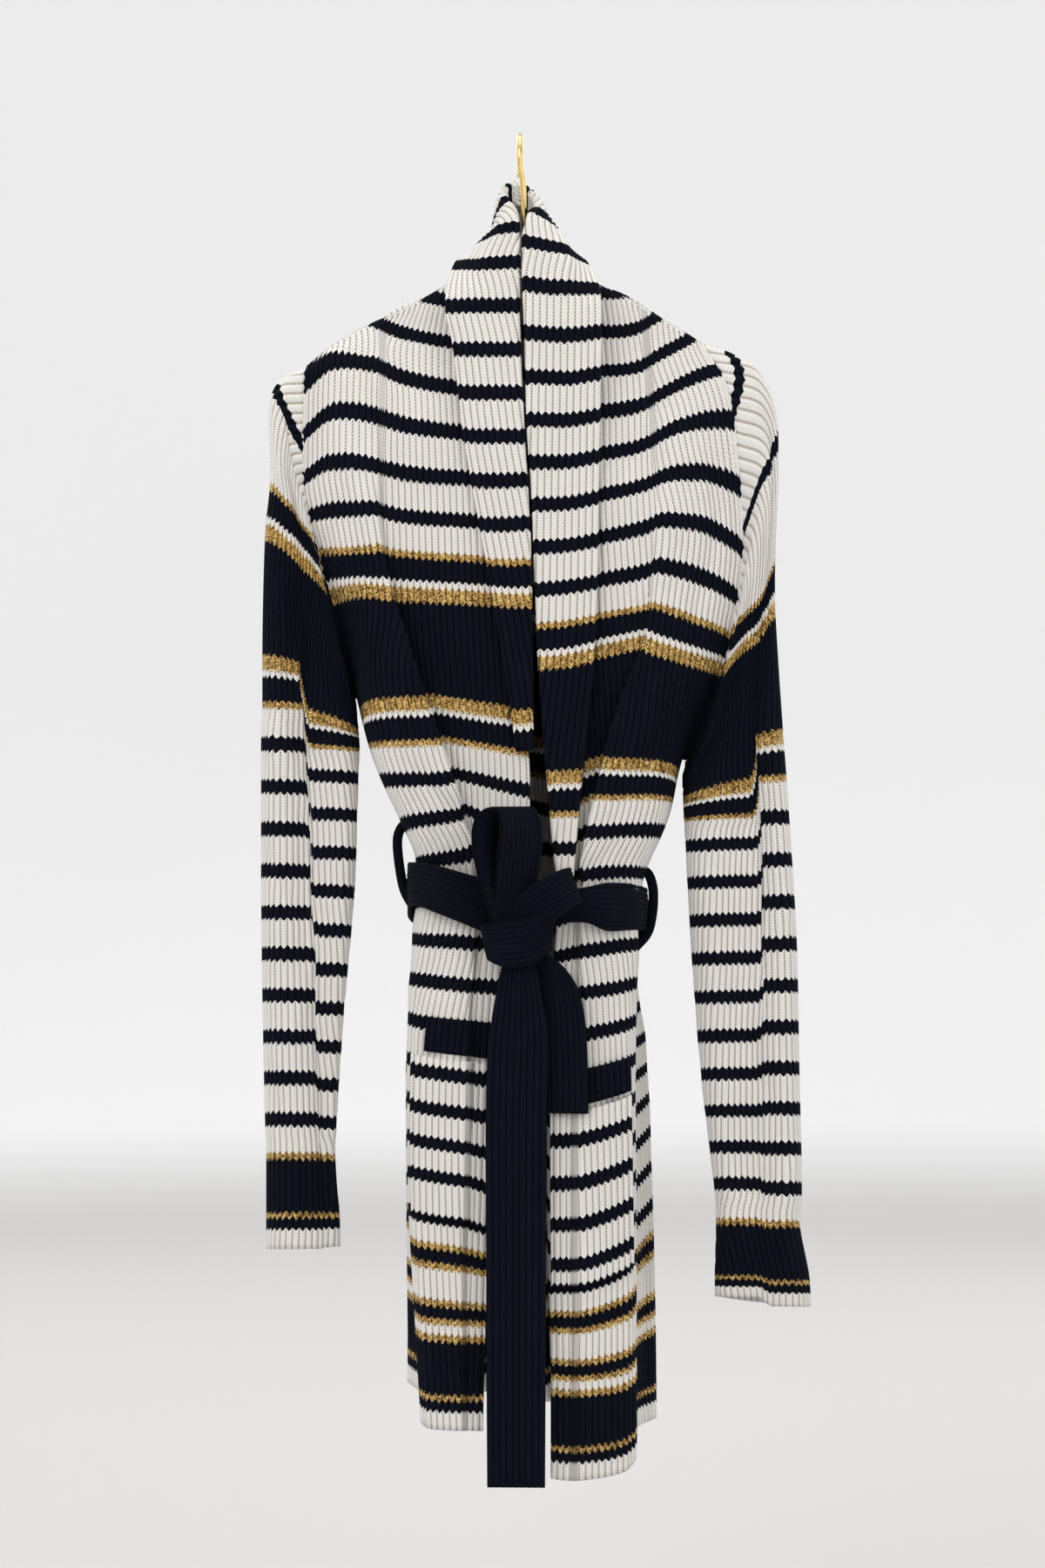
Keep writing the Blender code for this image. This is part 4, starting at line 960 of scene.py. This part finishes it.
def front_grid(rows, down, total):
    lines = front_lines(rows, down)
    run = np.cumsum(np.linalg.norm(np.diff(lines[..., :3], axis=1), axis=2), axis=1)
    pleat = run[:, int(PLEAT_AT * run.shape[1])] / run[:, -1]
    return spread(lines, total, pleat, PLEAT_HALF, RIB / COLUMNS, PLEAT_SMOOTH)


def build_fronts(body):
    for side, rows, stripes in (
        ("left", FRONT_LEFT, POCKET_LEFT_STRIPES), ("right", FRONT_RIGHT, POCKET_RIGHT_STRIPES),
    ):
        down = steps_down(panel_table(rows, WALES)[0][0], HEM)
        total = math.ceil(row_lengths(front_lines(rows, down)).max() / RIB) * RIB
        grid, knit, ease = front_grid(rows, down, total)
        grid = creased(grid, knit, FRONT_MARKS[side])
        made = dressed(knitted("front_" + side + "_knit", grid, knit / RIB, ease, body),
                       ["front_" + side])
        for name, high, low, flat in (
            ("pocket_band_", BAND_TOP, BAND_FOOT, (0.080, 0.030)),
            ("pocket_", POCKET_TOP, POCKET_FOOT, (0.083, 0.140)),
        ):
            part, knit, ease = front_grid(rows, steps_down(high, low, POCKET_ROW), total)
            push = normals(part[..., :3])
            push *= np.sign(-push[..., 1:2])
            part[..., :3] += push * LAYER
            lie = np.abs(part[..., 0] - part[:, :1, 0]).mean(0)
            first = int(np.argmin(abs(lie - POCKET_NEAR * lie.max())))
            striped = name == "pocket_"
            far = POCKET_FAR if striped or side == "right" else BAND_FAR_LEFT
            last = pocket_edge(rows, total, far)
            part, wales = part[:, first:last], knit[first:last] / RIB
            pattern = (POCKET_BANDS, (), stripes) if striped else ()
            look = knit_material(name + side + "_knit", *pattern)
            piece = knitted(name + side + "_knit", part, wales, ease[:, first:last], look)
            made = dressed(piece, [name + side])


def pocket_edge(rows, total, share):
    """The column of a front's grid that lies nearest to a share of its width at the pocket."""
    down = np.array([BAND_FOOT, POCKET_FOOT])
    grid, knit, _ = front_grid(rows, down, total)
    target = panel(rows, WALES, down, (share,))[:, 0, :3]
    near = np.linalg.norm(grid[..., :3] - target[:, None], axis=2).mean(0)
    return int(round(np.argmin(near) / COLUMNS) * COLUMNS) + 1


def build_back(body):
    down = steps_down(panel_table([row[:4] for row in BACK], BACK_WALES)[0][0], HEM, BACK_ROW)
    lines = back_lines(down)
    count = BACK_RIBS * COLUMNS
    knit = np.linspace(0, BACK_RIBS, count + 1)
    length = row_lengths(lines)
    grid = np.empty((len(down), count + 1, 4))
    for r, line in enumerate(lines):
        run = distances(line)
        grid[r] = sampled(line, run, np.linspace(0, run[-1], count + 1))
    ease = np.clip(length / (BACK_RIBS * RIB), 0.55, 1)[:, None] * np.ones((1, count + 1))
    grid = creased(grid, knit * RIB, BACK_MARKS)
    made = dressed(knitted("back_knit", grid, knit, ease, body), ["back"])


def build_sleeves():
    for side, front_rows, rows, singles in (
        ("left", FRONT_LEFT, SLEEVE_LEFT, CAP_LEFT), ("right", FRONT_RIGHT, SLEEVE_RIGHT, CAP_RIGHT),
    ):
        look = knit_material("sleeve_" + side + "_knit", SLEEVE_BANDS, SLEEVE_RUNS, singles)
        lines = sleeve_lines(front_rows, rows, SLEEVE_TOP[side])
        front, ease = sleeve_half(lines[:, :SLEEVE_TURNS // 2 + 1])
        rear, rear_ease = sleeve_half(lines[:, SLEEVE_TURNS // 2:][:, ::-1])
        grid = np.concatenate([front, rear[:, -2:0:-1]], 1)
        ease = np.concatenate([ease, rear_ease[:, -2:0:-1]], 1)
        wale = np.arange(grid.shape[1] + 1) / COLUMNS
        grid = creased(grid, wale[:-1] * RIB, SLEEVE_MARKS[side], 2 * SLEEVE_HALF)
        made = dressed(knitted("sleeve_" + side + "_knit", grid, wale, ease, look, around=True),
                       ["sleeve_" + side])


def sleeve_half(lines):
    """Columns of one half of a sleeve, from its outer side to its inner side."""
    count = int(SLEEVE_HALF / RIB) * COLUMNS
    knit = np.linspace(0, SLEEVE_HALF, count + 1)
    grid = np.empty((len(lines), count + 1, 4))
    ease = np.empty((len(lines), count + 1))
    for r, line in enumerate(lines):
        run = distances(line)
        even = min(SLEEVE_EVEN * run[-1], SLEEVE_EVEN * SLEEVE_HALF)
        at = np.interp(knit, (0, even, SLEEVE_HALF), (0, even, run[-1])) if run[-1] <= SLEEVE_HALF \
            else knit * run[-1] / SLEEVE_HALF
        grid[r] = sampled(line, run, at)
        ease[r] = np.clip(np.gradient(at) / (RIB / COLUMNS), 0, 1)
    return grid, ease


def build_collar(body):
    for side, rows, sign in (("left", COLLAR_LEFT, -1), ("right", COLLAR_RIGHT, 1)):
        lines = collar_lines(rows, sign)
        length = row_lengths(lines)
        total = math.ceil(length.max() / COLLAR_RIB) * COLLAR_RIB
        hidden = np.interp(np.linspace(0, len(rows) - 1, len(lines)), np.arange(len(rows)),
                           [row[5] for row in rows])
        middle = 1 - (hidden * 0.5 + ROLL_R) / length
        grid, knit, ease = spread(lines, total, middle, COLLAR_EASE, COLLAR_RIB / COLUMNS)
        grid = creased(grid, knit, COLLAR_MARKS[side])
        made = dressed(knitted("collar_" + side + "_knit", grid, knit / COLLAR_RIB, ease, body),
                       ["collar_" + side])


def with_course(grid):
    """A belt strip's points with the length along it as their course."""
    middle = grid[:, grid.shape[1] // 2]
    run = distances(middle)
    return np.concatenate([grid, np.broadcast_to(run[:, None, None], grid.shape[:2] + (1,))], 2)


def build_belt():
    navy = knit_material("belt_knit")
    shares = np.linspace(0, 1, BELT_RIBS * COLUMNS + 1)
    for name, grid, flat in (
        ("belt_band", belt_round(170, shares), (0.0475, 0.520)),
        ("belt_bow", strip(BELT_BOW, 50, shares), (0.0475, 0.216)),
        ("belt_tail_long", strip(BELT_TAIL_LONG, 90, shares), (0.0475, 0.400)),
        ("belt_tail_short", strip(BELT_TAIL_SHORT, 32, shares), (0.0475, 0.130)),
        ("belt_knot", strip(BELT_KNOT, 40, shares, lean=True), (0.0475, 0.075)),
        ("belt_wing", strip(BELT_WING, 24, shares, lean=True), (0.0475, 0.065)),
    ):
        grid = with_course(grid)
        wide = np.linalg.norm(grid[:, -1, :3] - grid[:, 0, :3], axis=1) / (BELT_RIBS * RIB)
        ease = np.clip(wide, 0.3, 1)[:, None] * np.ones((1, grid.shape[1]))
        piece = knitted(name + "_knit", grid, shares * BELT_RIBS, ease, navy, BELT_WALL, BELT_DEEP)
        made = dressed(piece, [name])
    for name, path in (("belt_loop_left", LOOP_LEFT), ("belt_loop_right", LOOP_RIGHT)):
        points = np.array([placed(*p) for p in path])
        line = curve(np.arange(len(path)), points, np.linspace(0, len(path) - 1, 40))
        line[:, 0] -= np.sign(line[:, 0]) * LOOP_INWARD
        dressed(tube(name + "_knit", line, LOOP_DEEP, LOOP_WIDE, 16, navy), [name])


def sew(name, line, wide, thick, look, course):
    dressed(tube(name, line, wide, thick, SEAM_SIDES, look, course), [])


def build_seams(body):
    """Sewn seams: rounded ridges of yarn where the panels are joined."""
    turns = np.linspace(0, 1, 121)
    for side, rows in (("left", FRONT_LEFT), ("right", FRONT_RIGHT)):
        ring = armhole(rows, turns)
        down = np.where(turns <= 0.5, turns, 1 - turns) * 2
        top = panel_table(rows, WALES)[0][0]
        at = curve((0, 0.5, 1), [[top], [ARMHOLE_MIDDLE], [UNDERARM]], down)[:, 0]
        edge = panel(rows, WALES, at, (1.0,))[:, 0]
        course = edge[:, 3]
        edge = np.where((turns > 0.5)[:, None], edge[:, :3] * (1, -1, 1), edge[:, :3])
        line = ring * 0.55 + edge * 0.45
        sew("armhole_seam_" + side, line, SEAM_WIDE, SEAM_WIDE, body, course)
        at = np.linspace(UNDERARM, HEM, 110)
        edge = panel(rows, WALES, at, (1.0,))[:, 0]
        line = edge[:, :3] + (0, SEAM * 0.6, 0)
        sew("side_seam_" + side, line, SEAM_WIDE, SEAM_WIDE * 0.8, body, edge[:, 3])
        share = np.linspace(0.06, 1, 50)
        edge = panel(rows, WALES, (top,), share)[0]
        line = edge[:, :3] * (1, 0, 1)
        sew("shoulder_seam_" + side, line, SEAM_WIDE, SEAM_WIDE, body, edge[:, 3])


def build_neck_seam(body):
    """The seam that joins the two halves of the collar at the centre back."""
    left = collar_section(COLLAR_LEFT[-1], -1, 12)
    right = collar_section(COLLAR_RIGHT[-1], 1, 12)
    line = (left + right) / 2
    sew("collar_seam", line[:, :3], NECK_SEAM_THICK, NECK_SEAM_WIDE, body, line[:, 3])


def build_hook():
    middle = HOOK_R + WIRE / 2
    crown = [(0.0, -middle * math.sin(a), -HOOK_R + middle * math.cos(a))
             for a in np.radians(np.linspace(-120, 100, 37))]
    stem = [(2.2, -17.5, -36), (2.7, -14.6, -50), (3.4, -9, -66), (4.0, -3, -82), (4.0, 0, -93),
            (4.0, 0, -106.7)]
    path = np.array(crown + stem)
    lengths = distances(path)
    line = curve(lengths, path, np.linspace(0, lengths[-1], 90))
    made = tube("hanger_hook_wire", line, WIRE, WIRE, 20, brass_material())
    dressed(made, ["hanger_hook"])


def build_studio():
    half = PHOTO_HIGH * MM_A_PIXEL / 2 * MM
    data = bpy.data.cameras.new("camera")
    data.sensor_fit = "VERTICAL"
    data.sensor_height = 24.0
    data.lens = data.sensor_height / 2 * SIGHT_FAR * MM / half
    camera = bpy.data.objects.new("camera", data)
    camera.location = (SIGHT_X * MM, -SIGHT_FAR * MM, SIGHT_Z * MM)
    camera.rotation_euler = (math.radians(90), 0, 0)
    bpy.context.scene.collection.objects.link(camera)
    bpy.context.scene.camera = camera
    mesh = bmesh.new()
    bend = [(0.4 * k, FLOOR_Z) for k in range(1, 9)]
    inner = BOWL_R - BOWL_BEND
    bend += [(inner + BOWL_BEND * math.sin(a), FLOOR_Z + BOWL_BEND - BOWL_BEND * math.cos(a))
             for a in np.radians(np.linspace(0, 90, 17))]
    bend += [(BOWL_R, BOWL_TOP)]
    turn = np.arange(BOWL_SIDES) * 2 * math.pi / BOWL_SIDES
    rings = [[mesh.verts.new((r * math.cos(t), r * math.sin(t), z)) for t in turn] for r, z in bend]
    mesh.faces.new(rings[0])
    for low, high in zip(rings, rings[1:]):
        for k in range(BOWL_SIDES):
            j = (k + 1) % BOWL_SIDES
            mesh.faces.new((low[k], low[j], high[j], high[k])).smooth = True
    data = bpy.data.meshes.new("floor")
    mesh.to_mesh(data)
    mesh.free()
    floor = bpy.data.objects.new("floor", data)
    floor.data.materials.append(floor_material())
    bpy.context.scene.collection.objects.link(floor)
    for name, place, aim, size, power in (
        ("key", (-1.5, -2.6, 1.2), (0, 0, -0.5), 1.8, 33),
        ("fill", (2.0, -2.6, 0.1), (0, 0, -0.6), 2.2, 15),
        ("back_left", (-1.8, 2.4, 1.2), (0, 0, -0.5), 2.0, 20),
        ("back_right", (1.8, 2.4, 0.6), (0, 0, -0.5), 2.0, 16),
        ("top", (0.0, 0.0, 2.6), (0, 0, -0.5), 3.0, 42),
        ("wall", (0.0, 2.0, 1.8), (0, 4.6, -0.4), 2.4, 10),
    ):
        lamp = bpy.data.lights.new(name, "AREA")
        lamp.size = size
        lamp.energy = power
        made = bpy.data.objects.new(name, lamp)
        made.location = place
        aim = np.array(aim, float) - np.array(place)
        made.rotation_euler = (math.acos(-aim[2] / np.linalg.norm(aim)), 0,
                               math.atan2(aim[1], aim[0]) - math.pi / 2)
        bpy.context.scene.collection.objects.link(made)
    world = bpy.data.worlds.new("studio")
    world.use_nodes = True
    world.node_tree.nodes["Background"].inputs[0].default_value = (1.0, 0.995, 0.985, 1)
    world.node_tree.nodes["Background"].inputs[1].default_value = 0.72
    bpy.context.scene.world = world
    bpy.context.scene.view_settings.view_transform = "Standard"


body_look = knit_material("body_knit", BODY_BANDS, BODY_RUNS)
build_fronts(body_look)
build_back(body_look)
build_sleeves()
build_collar(body_look)
build_belt()
build_seams(body_look)
build_neck_seam(body_look)
build_hook()
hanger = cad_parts["hanger_body"]
hanger.data.materials.clear()
hanger.data.materials.append(wood_material())
build_studio()
